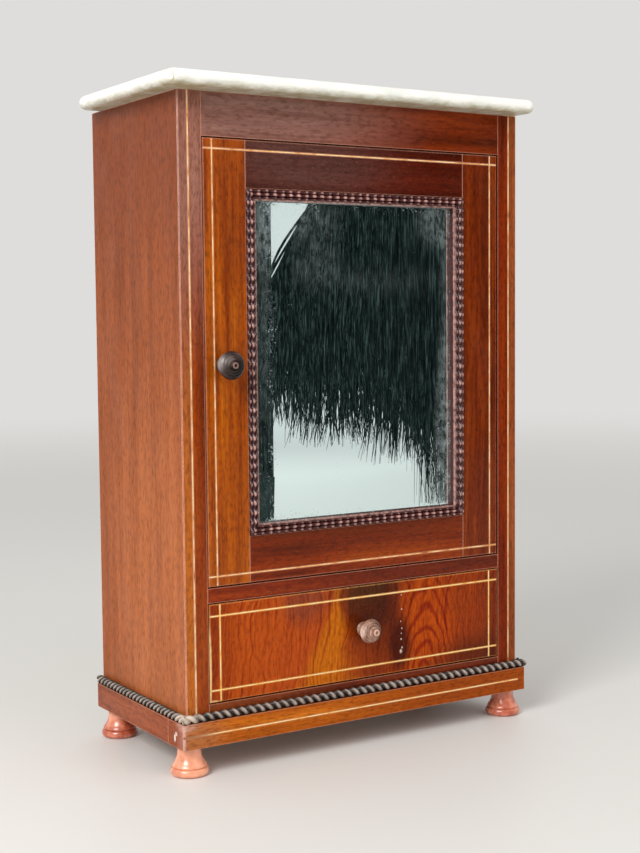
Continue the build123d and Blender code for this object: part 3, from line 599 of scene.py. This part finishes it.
def makeCrotch():
    low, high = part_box("drawer_front")
    centre = (low + high) / 2
    half = (high.x - low.x) / 2 / mm
    material, tree, shader = newMaterial("crotchMahoganyPolished",
                                         {"IOR": 1.5, "Specular IOR Level": crotch["gloss"]})
    place = millimetres(tree, shift=[-c / mm for c in centre])
    swirl = addNode(tree, "TexNoise", {"Vector": place, "Scale": 1 / crotch["swirlSize"], "Detail": 2.0})
    reach = crotch["swirlReach"]
    bent = chain(tree, "VectorMath", swirl.outputs["Color"], ("MULTIPLY_ADD", reach, [-r / 2 for r in reach]))
    bent = chain(tree, "VectorMath", place, ("ADD", bent))
    x, _, z = addNode(tree, "SeparateXYZ", {0: bent}).outputs
    leaning = chain(tree, "Math", z, ("MULTIPLY_ADD", -crotch["lean"], x))
    across = addNode(tree, "MapRange", ranged(leaning, -half, half))
    colour = addNode(tree, "ValToRGB", {"Fac": across}, crotch["ground"])

    # the golden flame widens downwards
    apexX, apexZ, apexHalf = crotch["flameApex"]
    baseX, baseZ, baseHalf = crotch["flameBase"]
    middle = addNode(tree, "MapRange", ranged(z, baseZ, apexZ, baseX, apexX))
    wide = addNode(tree, "MapRange", ranged(z, baseZ, apexZ, baseHalf, apexHalf))
    off = chain(tree, "Math", x, ("SUBTRACT", middle), ("ABSOLUTE",), ("DIVIDE", wide))
    colour = tinted(tree, colour, crotch["flame"], ranged(off, 0.35, 1.25, 0.95, 0.0),
                    interpolation_type="SMOOTHSTEP")

    # arches round a spot under the drawer, drawn tall, with dark growth lines
    ring = chain(tree, "VectorMath", place, ("SUBTRACT", crotch["archMiddle"]),
                 ("MULTIPLY", (1, 0, crotch["archTall"])), ("LENGTH",))
    bendSize, bend = crotch["archBend"]
    shift = addNode(tree, "TexNoise", {"Vector": bent, "Scale": 1 / bendSize, "Detail": 3.0})
    wave = chain(tree, "Math", shift, ("MULTIPLY_ADD", bend, ring),
                 ("MULTIPLY", 2 * math.pi / crotch["archPitch"]), ("SINE",), ("MULTIPLY_ADD", 0.5, 0.5))
    arches = shade(tree, crotch["arch"], wave, crotch["archLines"])
    colour = tinted(tree, colour, arches, ranged(ring, *crotch["archReach"], 0.95, 0.0),
                    interpolation_type="SMOOTHSTEP")

    # fine straight stripes, strongest at the left
    stripes = addNode(tree, "CombineXYZ", {0: leaning, 2: z})
    stripes = addNode(tree, "Mapping", {"Vector": stripes, "Scale": [1 / s for s in crotch["stripe"]]})
    stripes = addNode(tree, "TexNoise", {"Vector": stripes, "Scale": 1.0, "Detail": 4.0})
    colour = shade(tree, colour, stripes, [(0.34, "#c49484"), (0.50, 0.95), (0.62, 1.0)])

    def spotAt(offsetX, offsetZ):
        return centre.x + offsetX * mm, frontY, centre.z + offsetZ * mm

    for offsetX, offsetZ, reachX, reachZ, soften, tint, amount in crotch["clouds"]:
        colour = patch(tree, colour, spotAt(offsetX, offsetZ), (reachX, 40, reachZ), soften, tint, amount)
    for count, (up, size) in enumerate(crotch["flecks"]):
        spot = spotAt(crotch["fleckLine"] + 0.5 * math.sin(count * 2.4), up)
        colour = patch(tree, colour, spot, (size, 40, size * 1.4), 0.5, crotch["fleckColour"], 0.95)
    # painted highlight down the left edge, where it catches the light, and at the bottom left corner
    colour = patch(tree, colour, (low.x, frontY, centre.z - 0.009), (1.3, 2.5, 25), 0.3, "#ffd490", 0.9)
    colour = patch(tree, colour, (low.x + 0.002, frontY, low.z), (5, 2.5, 1.5), 0.3, "#f2c080", 0.8)
    polishMahogany(tree, shader, colour, "xyz".index(crotch["grain"]), crotch["seed"],
                   {**mahoganyLook, **crotch})
    return material


dress(makeCrotch(), "drawer_front")
print("drawer front dressed")


# plain softwood inside: pine, planed and left bare
pineLook = {
    "rings": [(0.0, "#c39a64"), (0.55, "#bd925b"), (0.82, "#ae7f48"), (0.94, "#9c6c3a"), (1.0, "#c0975f")],
    "ringWidth": 4.6,  # mm; real rings are 1 to 3 mm and would blur away
    "ringWander": 3.6,
    "heart": (6.0, 34.0),  # how flat the rings are cut, how far off their middle lies
    "flow": (34, 260),  # mm across and along the grain
    "fibres": (0.7, 14),
    "dust": "#c8b8a4",
    "knot": "#5c3317",
    "roundKnot": "#8d5b2d",
}


def makePine(name, grain, seed, knots=()):
    # pale early wood with a thin dark line for each year, gone brown and dusty with age
    material, tree, shader = newMaterial(name, {"Roughness": 0.7, "IOR": 1.45})
    axis = "xyz".index(grain)
    stretch, shift = [1e9] * 3, [0.0] * 3  # nothing changes along the grain
    broad, thin = [a for a in (0, 1, 2) if a != axis]
    stretch[broad], shift[broad] = 1.0, seed
    stretch[thin], shift[thin] = pineLook["heart"]
    radius = chain(tree, "VectorMath", millimetres(tree, stretch, shift), ("LENGTH",))
    years = chain(tree, "Math", radius, ("DIVIDE", pineLook["ringWidth"]))
    flow = grainFigure(tree, pineLook["flow"], axis, seed, 1.5)
    year = chain(tree, "Math", flow, ("MULTIPLY_ADD", pineLook["ringWander"], years), ("FRACT",))
    colour = addNode(tree, "ValToRGB", {"Fac": year}, pineLook["rings"])
    for spot in knots:
        colour = patch(tree, colour, spot, (8, 30, 15), 0.6, pineLook["roundKnot"], 0.8)
        colour = patch(tree, colour, spot, (3.6, 30, 4.6), 0.2, pineLook["knot"], 0.95)
    fibres = grainFigure(tree, pineLook["fibres"], axis, seed + 5, 3.0)
    colour = shade(tree, colour, fibres, [(0.34, 0.84), (0.56, 1.0)])
    dust = figure(tree, [55] * 3, 4.0, shift=(seed, 2, 1))
    colour = shade(tree, colour, dust, [(0.34, pineLook["dust"]), (0.62, 1.0)])
    bump = addNode(tree, "Bump", {"Strength": 0.25, "Distance": 0.1 * mm, "Height": fibres})
    feed(tree, shader, {"Base Color": colour, "Normal": bump})
    return material


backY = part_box("back_panel")[1].y
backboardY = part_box("mirror_backboard")[1].y
dress(makePine("pineAcross", "x", 14.0), "top_board", "divider_board", "bottom_board", "shelf", "door_stop",
      "plinth_back", "drawer_back", "drawer_bottom", "drawer_stops")
dress(makePine("pineUpright", "z", -22.0, ((0.052, backY, 0.305), (-0.061, backY, 0.128))), "back_panel")
dress(makePine("pineBackboard", "z", 31.0, ((-0.018, backboardY, 0.232),)), "mirror_backboard")
dress(makePine("pineDeep", "y", 61.0), "shelf_cleats", "drawer_guides", "drawer_side_left",
      "drawer_side_right")
dress(makePine("pineBeads", "y", 7.0), "mirror_beads")
print("inside dressed")


# boxwood stringing: thin pale yellow lines under the polish
stringing = {
    "plain": [(0.28, "#a8622c"), (0.42, "#eaa45e"), (0.60, "#ffd49c")],  # duller, under more polish
    "bright": [(0.28, "#e8943a"), (0.40, "#ffc66c"), (0.58, "#ffdc9a")],
    "worn": "#8a4a28",
    "glue": "#6a2c0c",
    "glueWidth": 0.4,  # mm
}


def makeBoxwood(name, tones, wornFrom=None):
    # close even wood, gone orange under old polish, rubbed away at one end
    material, tree, shader = newMaterial(name, {"Roughness": 0.35, "IOR": 1.5, "Specular IOR Level": 0.3})
    colour = addNode(tree, "ValToRGB", {"Fac": figure(tree, [9] * 3, 4.0)}, tones)
    if wornFrom:
        colour = patch(tree, colour, wornFrom, (16, 30, 30), 0.6, stringing["worn"], 0.8)
    # dark glue and old polish lie along both its sides
    glued = ranged(arrises(tree, stringing["glueWidth"], 6), 0.998, 0.97, 0.0, 0.9)
    feed(tree, shader, {"Base Color": tinted(tree, colour, stringing["glue"], glued)})
    return material


dress(makeBoxwood("boxwoodUnderPolish", stringing["plain"]), "cabinet_stringing", "door_stringing")
dress(makeBoxwood("boxwoodRubbed", stringing["bright"], (leftX, frontY, ledgeZ)),
      "drawer_stringing", "plinth_stringing")
print("stringing dressed")


def makeMetal(name, dark, light, roughness, metallic):
    # brass and iron, dull and fingered, darker in blotches
    material, tree, shader = newMaterial(name, {"Metallic": metallic, "Roughness": roughness})
    colour = addNode(tree, "ValToRGB", {"Fac": figure(tree, [2.5] * 3, 4.0)}, [(0.35, dark), (0.65, light)])
    feed(tree, shader, {"Base Color": colour})
    return material


dress(makeMetal("brassDull", "#8a6a34", "#c29a55", 0.38, 1.0), "hinge_plates", "hinge_pins", "latch_tongue")
dress(makeMetal("ironDark", "#2a2320", "#4a3f38", 0.6, 0.9), "back_brads", "latch_spindle")
print("metal dressed")


# mirror plate: old silvering with foxing
mirrorLook = {  # sizes in mm
    "tint": "#eeffff",
    "haze": "#9fb4b4",
    "hidden": 7.5,  # of the plate's edge, behind the moulding
    "edgeBand": 8.0,
    "stripe": (20, 8),  # a lifted stripe: how far in from the left, half width
    "speck": 1.3,
    "clump": 17,
    "cloud": (5, 5, 8),
    "smudge": "#86a0a8",
    # blooming of the silver: where, as shares of the width and height, reach in mm, strength
    "smudges": ((0.09, 0.92, 8, 26, 0.50), (0.085, 0.66, 6, 50, 0.14), (0.085, 0.25, 6, 60, 0.07),
                (0.25, 0.92, 26, 10, 0.22), (0.32, 0.80, 16, 16, 0.10), (0.60, 0.74, 44, 9, 0.05),
                (0.90, 0.93, 14, 16, 0.40), (0.92, 0.24, 6, 56, 0.42), (0.93, 0.62, 4, 60, 0.18)),
}


def makeMirror():
    # silver behind greenish glass, spotted white and lifted along the edges
    look = mirrorLook
    material, tree, shader = newMaterial("mirrorOldSilvered", {})
    low, high = mirrorLow, mirrorHigh
    x, _, z = addNode(tree, "SeparateXYZ", {0: addNode(tree, "TexCoord").outputs["Object"]}).outputs
    insides = [chain(tree, "Math", place, ("MULTIPLY_ADD", sign, -sign * edge))
               for place, edge, sign in ((x, low.x, 1), (x, high.x, -1), (z, low.z, 1), (z, high.z, -1))]
    nearest = chain(tree, "Math", insides[0], *(("MINIMUM", inside) for inside in insides[1:]))
    fades = (look["hidden"] + look["edgeBand"]) * mm
    border = addNode(tree, "MapRange", ranged(nearest, look["hidden"] * mm, fades, 0.14, 0.0))
    stripeIn, stripeHalf = look["stripe"]
    stripe = chain(tree, "Math", x, ("SUBTRACT", low.x + stripeIn * mm), ("ABSOLUTE",))
    stripe = addNode(tree, "MapRange", ranged(stripe, 0.0, stripeHalf * mm, 0.11, 0.0))
    cover = chain(tree, "Math", figure(tree, [look["speck"]] * 3, 4.0, 0.7), ("ADD", border), ("ADD", stripe))
    cover = chain(tree, "Math", figure(tree, [look["clump"]] * 3, 2.0), ("MULTIPLY_ADD", 0.30, cover))
    mask = addNode(tree, "MapRange", ranged(cover, 0.86, 0.98, 0.0, 0.85))
    colour = addNode(tree, "Mix", {0: mask, 6: look["tint"], 7: look["haze"]}, data_type="RGBA")
    cloudy = figure(tree, look["cloud"], 8.0, 0.75, shift=(3, 1, 2))
    broken = addNode(tree, "MapRange", ranged(cloudy, 0.44, 0.70, 0.05, 0.8))
    bloom = "#000000"
    for across, up, reachX, reachZ, strength in look["smudges"]:
        spot = (low.x + across * (high.x - low.x), frontY, low.z + up * (high.z - low.z))
        bloom = patch(tree, bloom, spot, (reachX, 60, reachZ), 0.7, "#ffffff", strength, broken)
    colour = addNode(tree, "Mix", {0: bloom, 6: colour, 7: look["smudge"]}, data_type="RGBA")
    silver = chain(tree, "Math", 1.0, ("SUBTRACT", mask))
    feed(tree, shader, {"Base Color": colour,
                        "Metallic": chain(tree, "Math", silver, ("SUBTRACT", bloom), use_clamp=True),
                        "Roughness": chain(tree, "Math", mask, ("MULTIPLY_ADD", 0.5, 0.006))})
    return material


dress(makeMirror(), "mirror_plate")
print("mirror dressed")


# marble slab: white, honed, yellowed along its lower edge, partly a stain and partly painted shade where the
# edge turns under
slab = {  # sizes in mm
    "cornerRadius": 7.0,
    "edgeRadius": 4.5,
    "wear": 0.22,  # how far the edges wander
    "cloud": 34,
    "tones": [(0.34, "#e9eae3"), (0.48, "#f4f3ec"), (0.70, "#fcfaf3")],
    "stainAndShade": "#96894c",
    "stainAndShadeHeight": 6,
    "sideStainAndShade": (2, 7, 0.04),  # from the left edge, to, strength
    "stainMottle": (10, 10, 3),
    "crack": "#b09a6c",
    "crackFrom": 5.5,  # in from the left edge
    "crackWander": 5,
    "crackWidth": (0.12, 0.45),  # dark, faded
    "crackLength": (26, 12),  # faded, dark
}


def makeMarble(low):
    # white statuary, honed: faint grey clouds, a dull gloss, old wax gone yellow under the edge, with painted
    # shade there as well
    material, tree, shader = newMaterial("marbleHoned", {
        "Roughness": 0.34, "IOR": 1.49, "Subsurface Weight": 0.1, "Subsurface Scale": 1.5 * mm})
    clouds = figure(tree, [slab["cloud"]] * 3, 7.0, distortion=1.6)
    colour = addNode(tree, "ValToRGB", {"Fac": clouds}, slab["tones"])
    x, y, z = addNode(tree, "SeparateXYZ", {0: addNode(tree, "TexCoord").outputs["Object"]}).outputs
    # yellow-olive along the lower edge and left end: a stain and painted shade under the rounded edge
    stainAndShade = addNode(tree, "MapRange", ranged(z, low.z, low.z + slab["stainAndShadeHeight"] * mm, 1.0, 0.0))
    start, end, strength = slab["sideStainAndShade"]
    onSide = addNode(tree, "MapRange", ranged(x, low.x + start * mm, low.x + end * mm, strength, 0.0))
    mottle = figure(tree, slab["stainMottle"], 5.0, 0.68)
    stainAndShade = chain(tree, "Math", stainAndShade, ("ADD", onSide), ("MULTIPLY", mottle))
    colour = tinted(tree, colour, slab["stainAndShade"], ranged(stainAndShade, 0.16, 0.60, 0.0, 0.8))
    # a hair crack runs back from the front left corner
    dark, faded = slab["crackWidth"]
    line = chain(tree, "Math", figure(tree, [6] * 3, 3.0), ("MULTIPLY_ADD", slab["crackWander"] * mm, x),
                 ("SUBTRACT", low.x + slab["crackFrom"] * mm), ("ABSOLUTE",))
    near = addNode(tree, "MapRange", ranged(y, *(low.y + length * mm for length in slab["crackLength"])))
    colour = tinted(tree, colour, slab["crack"], ranged(line, dark * mm, faded * mm, 0.75, 0.0), near)
    bump = addNode(tree, "Bump", {"Strength": 0.3, "Distance": 0.15 * mm, "Height": mottle})
    feed(tree, shader, {"Base Color": colour, "Normal": bump})
    return material


def cutSlab():
    low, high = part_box("marble_top")
    centre = (low + high) / 2
    half = (high.z - low.z) / mm / 2
    radius = min(slab["edgeRadius"], half)
    corner = slab["cornerRadius"]
    wide, deep = (high.x - low.x) / mm, (high.y - low.y) / mm
    hubs = [Vector((sx * (wide / 2 - corner), sy * (deep / 2 - corner), 0))
            for sx, sy in ((1, 1), (-1, 1), (-1, -1), (1, -1))]
    # the outline runs round the slab; each spot has a place and the way it faces
    outline = []
    for index, hub in enumerate(hubs):
        for step in range(9):
            angle = math.pi / 2 * (index + step / 8)
            facing = Vector((math.cos(angle), math.sin(angle), 0))
            outline.append((hub + facing * corner, facing))
        start, facing = outline[-1]
        end = hubs[(index + 1) % 4] + facing * corner
        pieces = int((end - start).length / 4)
        outline += [(start.lerp(end, k / pieces), facing) for k in range(1, pieces)]
    flatInset = corner - 0.5
    edge = [(flatInset, half)]  # (in from the outline, height over the middle)
    for step in range(15):
        angle = math.pi * step / 14
        upper = (step < 7) - (step > 7)
        edge.append((radius * (1 - math.sin(angle)), math.cos(angle) * radius + (half - radius) * upper))
    edge.append((flatInset, -half))
    vertices = []
    for inset, height in edge:
        for spot, facing in outline:
            wear = slab["wear"] * (noise.noise(spot * 0.06) + 0.5 * noise.noise(spot * 0.25) + 0.4)
            place = spot - facing * (inset + max(wear, 0))
            vertices.append(centre + Vector((place.x, place.y, height)) * mm)
    addTube("marbleSlab", vertices, len(outline), makeMarble(low), "cabinet", "marble_top", 50)


cutSlab()
print("marble cut")


# turned feet
foot = {
    # radius and height, mm
    "outline": [
        [(0, 0.0)], [(9.6, 0.0)], [(11.3, 0.5), (12.4, 1.8), (12.5, 3.4), (12.1, 4.6), (11.5, 5.2)],
        [(10.5, 5.5)], [(11.3, 6.0), (10.9, 7.2), (9.5, 9.2), (8.3, 12.0), (7.75, 15.0), (7.7, 19.1)],
        [(0, 19.1)]],
    "tones": [(0.3, "#a84a30"), (0.5, "#cc7052"), (0.7, "#eca080")],
    "bleached": "#fcb08a",  # the front left one: a painted highlight where light falls on it, and its red faded by light and wear
}


def makeFootPolish():
    # turned mahogany under thick red polish, glossy on the bead
    material, tree, shader = newMaterial("mahoganyTurnedRedPolish",
                                         {"Roughness": 0.24, "IOR": 1.5, "Specular IOR Level": 0.9})
    grain = figure(tree, (6, 6, 9), 3.0)
    colour = addNode(tree, "ValToRGB", {"Fac": grain}, foot["tones"])
    # painted highlight on the front left foot
    colour = patch(tree, colour, centreOf("foot_front_left"), [22] * 3, 0.5, foot["bleached"], 1.35, grain)
    feed(tree, shader, {"Base Color": colour})
    return material


def turnFeet():
    polish = makeFootPolish()
    for node in ("foot_front_left", "foot_front_right", "foot_back_left", "foot_back_right"):
        place = centreOf(node)
        place.z = 0
        turnOnLathe(node, foot["outline"], place, (0, 0, 1), polish, "cabinet", 0.006)


turnFeet()
print("feet turned")


# knobs
doorKnob = {
    # radius and distance from the seat, mm
    "outline": [
        [(0, 0.2)], [(5.3, 0.2)], [(5.5, 0.9), (5.3, 1.6)],
        [(4.4, 2.4), (4.6, 3.6), (6.4, 5.4), (8.3, 8.0), (9.05, 10.8), (9.0, 11.7), (8.5, 12.6)],
        [(8.2, 12.8)], [(7.6, 13.5), (6.9, 13.9)], [(6.7, 13.6)], [(6.1, 14.2), (5.2, 14.6)], [(5.0, 14.3)],
        [(4.3, 14.7), (3.4, 14.9)], [(2.8, 14.4), (2.2, 14.5)],
        [(2.25, 16.0), (2.0, 16.8), (1.5, 17.0), (1.1, 16.9)], [(0.85, 16.2), (0, 16.1)]],
    "tones": [(0.3, "#1e1210"), (0.5, "#30201b"), (0.72, "#4a362f")],
    "tip": "#8c6c60",
    # painted highlight on the upper left and painted shade on the lower right: mm from its seat, reach, tint,
    # strength
    "handlingAndPaintedLight": (((-8, -8, 2), 5, "#a8a09c", 0.9), ((-3, -14, 3), 3, "#8a7e78", 0.5),
                ((5, -11, -5), 8, "#0c0605", 0.95)),
    "roughness": 0.28,
}
drawerKnob = {
    "outline": [
        [(0, 0.0)], [(4.6, 0.0)], [(4.9, 0.8), (4.9, 1.7), (4.5, 2.3)],
        [(3.3, 2.8), (3.0, 3.8), (3.3, 5.2), (4.4, 6.6), (6.0, 7.8)],
        [(7.3, 8.3), (8.1, 9.3), (8.15, 10.4), (7.7, 11.3)], [(7.2, 11.2)], [(6.9, 12.3), (6.3, 13.1)],
        [(5.8, 12.8)], [(5.4, 13.8), (4.6, 14.5)], [(4.1, 14.2)],
        [(3.7, 15.0), (3.0, 15.4)], [(2.3, 15.2)], [(2.55, 16.4), (2.3, 17.5), (1.7, 18.0), (1.3, 17.9)],
        [(1.0, 17.2), (0, 17.1)]],
    "tones": [(0.3, "#6c4a3c"), (0.5, "#a07866"), (0.72, "#ccaa98")],
    "tip": "#d8b09a",
    # painted highlight on the left, painted shade on the right
    "handlingAndPaintedLight": (((-6, -8, 0), 4, "#f4dccc", 0.8), ((5, -10, 3), 6, "#603e30", 0.7)),
    "roughness": 0.22,
}


def makeKnobWood(name, knob, place, tipY):
    # close-grained wood swirls round a turned knob, waxed by hands, with a painted highlight and painted
    # shade on its sides, rubbed pale at the tip
    material, tree, shader = newMaterial(name, {"Roughness": knob["roughness"], "IOR": 1.5,
                                                "Specular IOR Level": 0.35})
    colour = addNode(tree, "ValToRGB", {"Fac": figure(tree, (5.0, 2.0, 5.0), 2.0)}, knob["tones"])
    # painted highlight and painted shade on the knob's sides
    for offset, reach, tint, amount in knob["handlingAndPaintedLight"]:
        colour = patch(tree, colour, place + Vector(offset) * mm, [reach] * 3, 0.7, tint, amount)
    y = addNode(tree, "SeparateXYZ", {0: addNode(tree, "TexCoord").outputs["Object"]}).outputs[1]
    rubbed = ranged(y, tipY + 0.9 * mm, tipY + 0.3 * mm, 0.0, 0.85)
    feed(tree, shader, {"Base Color": tinted(tree, colour, knob["tip"], rubbed)})
    return material


def turnKnobs():
    for node, body, slot, knob in (("door_knob", "latch", "ebonised_wood", doorKnob),
                                   ("drawer_knob", "drawer", "knob_wood", drawerKnob)):
        place = centreOf(node)
        place.y = frontY
        material = makeKnobWood(node + "Wood", knob, place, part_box(node)[0].y)
        turnOnLathe(node, knob["outline"], place, (0, -1, 0), material, body, 0.004)


turnKnobs()
print("knobs turned")


# rope moulding: carved strands, ebonised, rubbed bright on the crowns, with a painted highlight where they
# face up and out
rope = {  # sizes in mm
    "radius": 2.9,
    "front": (6.2, 28),  # from strand to strand, lean in degrees
    "left": (5.25, -38),
    "right": (5.25, 38),
    "groove": 2.1,
    "tones": [(0.3, "#120c0a"), (0.7, "#3a2a24")],
    # pale grey on the crowns: rubbed wear and a painted highlight
    "worn": "#c0b0a4",
    "bareCorner": "#d8c4b2",  # at the front left
}


def makeCarvedFinish(name, tones, worn, roughness, wearFrom, bleached=()):
    # stain lies dark in the hollows and is rubbed through on the crowns, which carry a painted highlight and
    # shine
    material, tree, shader = newMaterial(name, {"IOR": 1.5})
    spots = figure(tree, [3] * 3, 5.0)
    crown = addNode(tree, "Attribute", attribute_name="crown").outputs["Fac"]
    height = chain(tree, "Math", spots, ("MULTIPLY_ADD", 0.8, crown))
    colour = addNode(tree, "ValToRGB", {"Fac": spots}, tones)
    # pale wear and a painted highlight on the crowns
    colour = tinted(tree, colour, worn, ranged(height, wearFrom, 1.6))
    for spot, reach, tint, amount in bleached:
        colour = patch(tree, colour, spot, reach, 0.6, tint, amount, spots)
    dull = addNode(tree, "MapRange", ranged(crown, 0.0, 1.0, roughness + 0.3, roughness))
    feed(tree, shader, {"Base Color": colour, "Roughness": dull})
    return material


def carveRope(side, x, along, outward, start, end, mitres, material):
    # It lies where wall and ledge meet; start and end are mm along the wall.
    # A mitre is 1 where the rope meets another one and 0 where it's cut square.
    radius = rope["radius"]
    pitch, lean = rope[side]
    leanAngle = math.radians(lean)
    width = pitch * math.cos(leanAngle)
    corner, along, outward = Vector((x, frontY, ledgeZ)), Vector(along), Vector(outward)
    around = 32
    steps = int((end - start) / 0.4)
    vertices, wearAndHighlights = [], []
    for i in range(steps + 1):
        for k in range(around):
            angle = 2 * math.pi * k / around  # from straight out, turning upward
            out, up = math.cos(angle), math.sin(angle)
            reach = radius * (1 + out)
            low, high = start - reach * mitres[0], end + reach * mitres[1]
            distance = low + (high - low) * i / steps
            turned = radius * (math.pi / 4 - angle if angle < math.pi * 1.25 else math.pi * 2.25 - angle)
            square = distance * math.cos(leanAngle) - turned * math.sin(leanAngle)
            phase = 2 * ((square / width) % 1.0) - 1
            crown = math.cos(math.pi / 2 * phase) ** 0.75
            size = radius - rope["groove"] * (1 - crown)
            z = Vector((0, 0, max(radius + size * up, 0.0)))
            # painted highlight: crowns facing up and out take the pale colour, as if lit from there
            wearAndHighlights.append(crown ** 2.2 * max(math.cos(angle - math.pi / 7), 0) ** 0.7)
            vertices.append(corner + (along * distance + outward * max(radius + size * out, 0.0) + z) * mm)
    addTube(f"rope{side.capitalize()}Carved", vertices, around, material, "cabinet", "rope_" + side,
            50, wearAndHighlights)


def carveRopes():
    bare = ((plinthLow.x, plinthLow.y, ledgeZ + 0.003), (10, 10, 8), rope["bareCorner"], 1.3)
    material = makeCarvedFinish("beechCarvedEbonised", rope["tones"], rope["worn"], 0.24, 0.8, [bare])
    half = (rightX - leftX) / mm / 2
    deep = (sideHigh.y - sideLow.y) / mm
    carveRope("front", middleX, (1, 0, 0), (0, -1, 0), -half, half, (1, 1), material)
    carveRope("left", leftX, (0, -1, 0), (-1, 0, 0), -deep, 0, (0, 1), material)
    carveRope("right", rightX, (0, 1, 0), (1, 0, 0), 0, deep, (1, 0), material)


carveRopes()
print("rope carved")


# ripple moulding round the mirror
ripple = {  # sizes in mm
    "pitch": 6.05,
    "wave": 1.3,
    "rise": 2.6,  # of the crests over the mirror's rebate
    "reeds": ((0.0, 2.35, 0.35), (2.35, 4.75, 0.0), (4.75, 6.5, 0.5)),  # from, to, how much lower
    "reedDepth": 1.25,
    "tones": [(0.3, "#2c0a0a"), (0.7, "#4c1614")],
    # pale pink on the crests and the inner fillet: wear, a painted highlight and a painted reflection
    "worn": "#e0b0a4",
}


def rippleSection(face):
    # across the moulding: distance in from the frame's edge, height over the mirror and share of the
    # wave, which is below 0 where the wood lies hidden
    points = []
    for start, end, drop in ripple["reeds"]:
        for step in range(7):
            t = step / 7
            fall = ripple["reedDepth"] * (1 - math.sin(math.pi * t) ** 0.6)
            points.append((start + (end - start) * t, face + ripple["rise"] - drop - fall, 1.0))
    return points + [(6.5, face + 0.1, 0.0), (7.4, face + 0.1, 0.0), (7.5, face - 0.8, 0.0),
                     (7.5, min(1.2, face - 1.0), -1.0), (7.5, 0.0, -1.0), (0.0, 0.0, -1.0)]


def shootRipple(node, corner, along, inward, length, face, material):
    waves = round(length / ripple["pitch"])
    pitch = length / waves
    section = rippleSection(face)
    crest = face + ripple["rise"]
    steps = waves * 12
    vertices, wearAndHighlights = [], []
    for i in range(steps + 1):
        for across, height, share in section:
            distance = across + (length - 2 * across) * i / steps
            fall = ripple["wave"] * max(share, 0) * (0.5 + 0.5 * math.cos(2 * math.pi * distance / pitch))
            out = Vector((0, -max(height - fall, 0), 0))
            vertices.append(corner + (along * distance + inward * across + out) * mm)
            # the crests take the pale colour as wear and painted highlight; the inner fillet takes it as a
            # painted reflection
            worn = max(0.0, 1 - (crest - height + fall) / 2.4) if share > 0 else 0.85
            wearAndHighlights.append(worn if share >= 0 else 0.0)
    addTube(node + "Shot", vertices, len(section), material, "door", node, 40, wearAndHighlights)


def shootRipples():
    material = makeCarvedFinish("pearwoodRippledStained", ripple["tones"], ripple["worn"], 0.15, 1.0)
    low, high = mirrorLow, mirrorHigh
    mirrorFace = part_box("mirror_plate")[0].y
    face = (mirrorFace - frontY) / mm
    wide, tall = (high.x - low.x) / mm, (high.z - low.z) / mm
    for name, x, z, along, inward, length in (
            ("bottom", low.x, low.z, (1, 0, 0), (0, 0, 1), wide),
            ("right", high.x, low.z, (0, 0, 1), (-1, 0, 0), tall),
            ("top", high.x, high.z, (-1, 0, 0), (0, 0, -1), wide),
            ("left", low.x, high.z, (0, 0, -1), (1, 0, 0), tall)):
        shootRipple("ripple_" + name, Vector((x, mirrorFace, z)), Vector(along), Vector(inward), length, face,
                    material)


shootRipples()
print("ripple moulding shot")
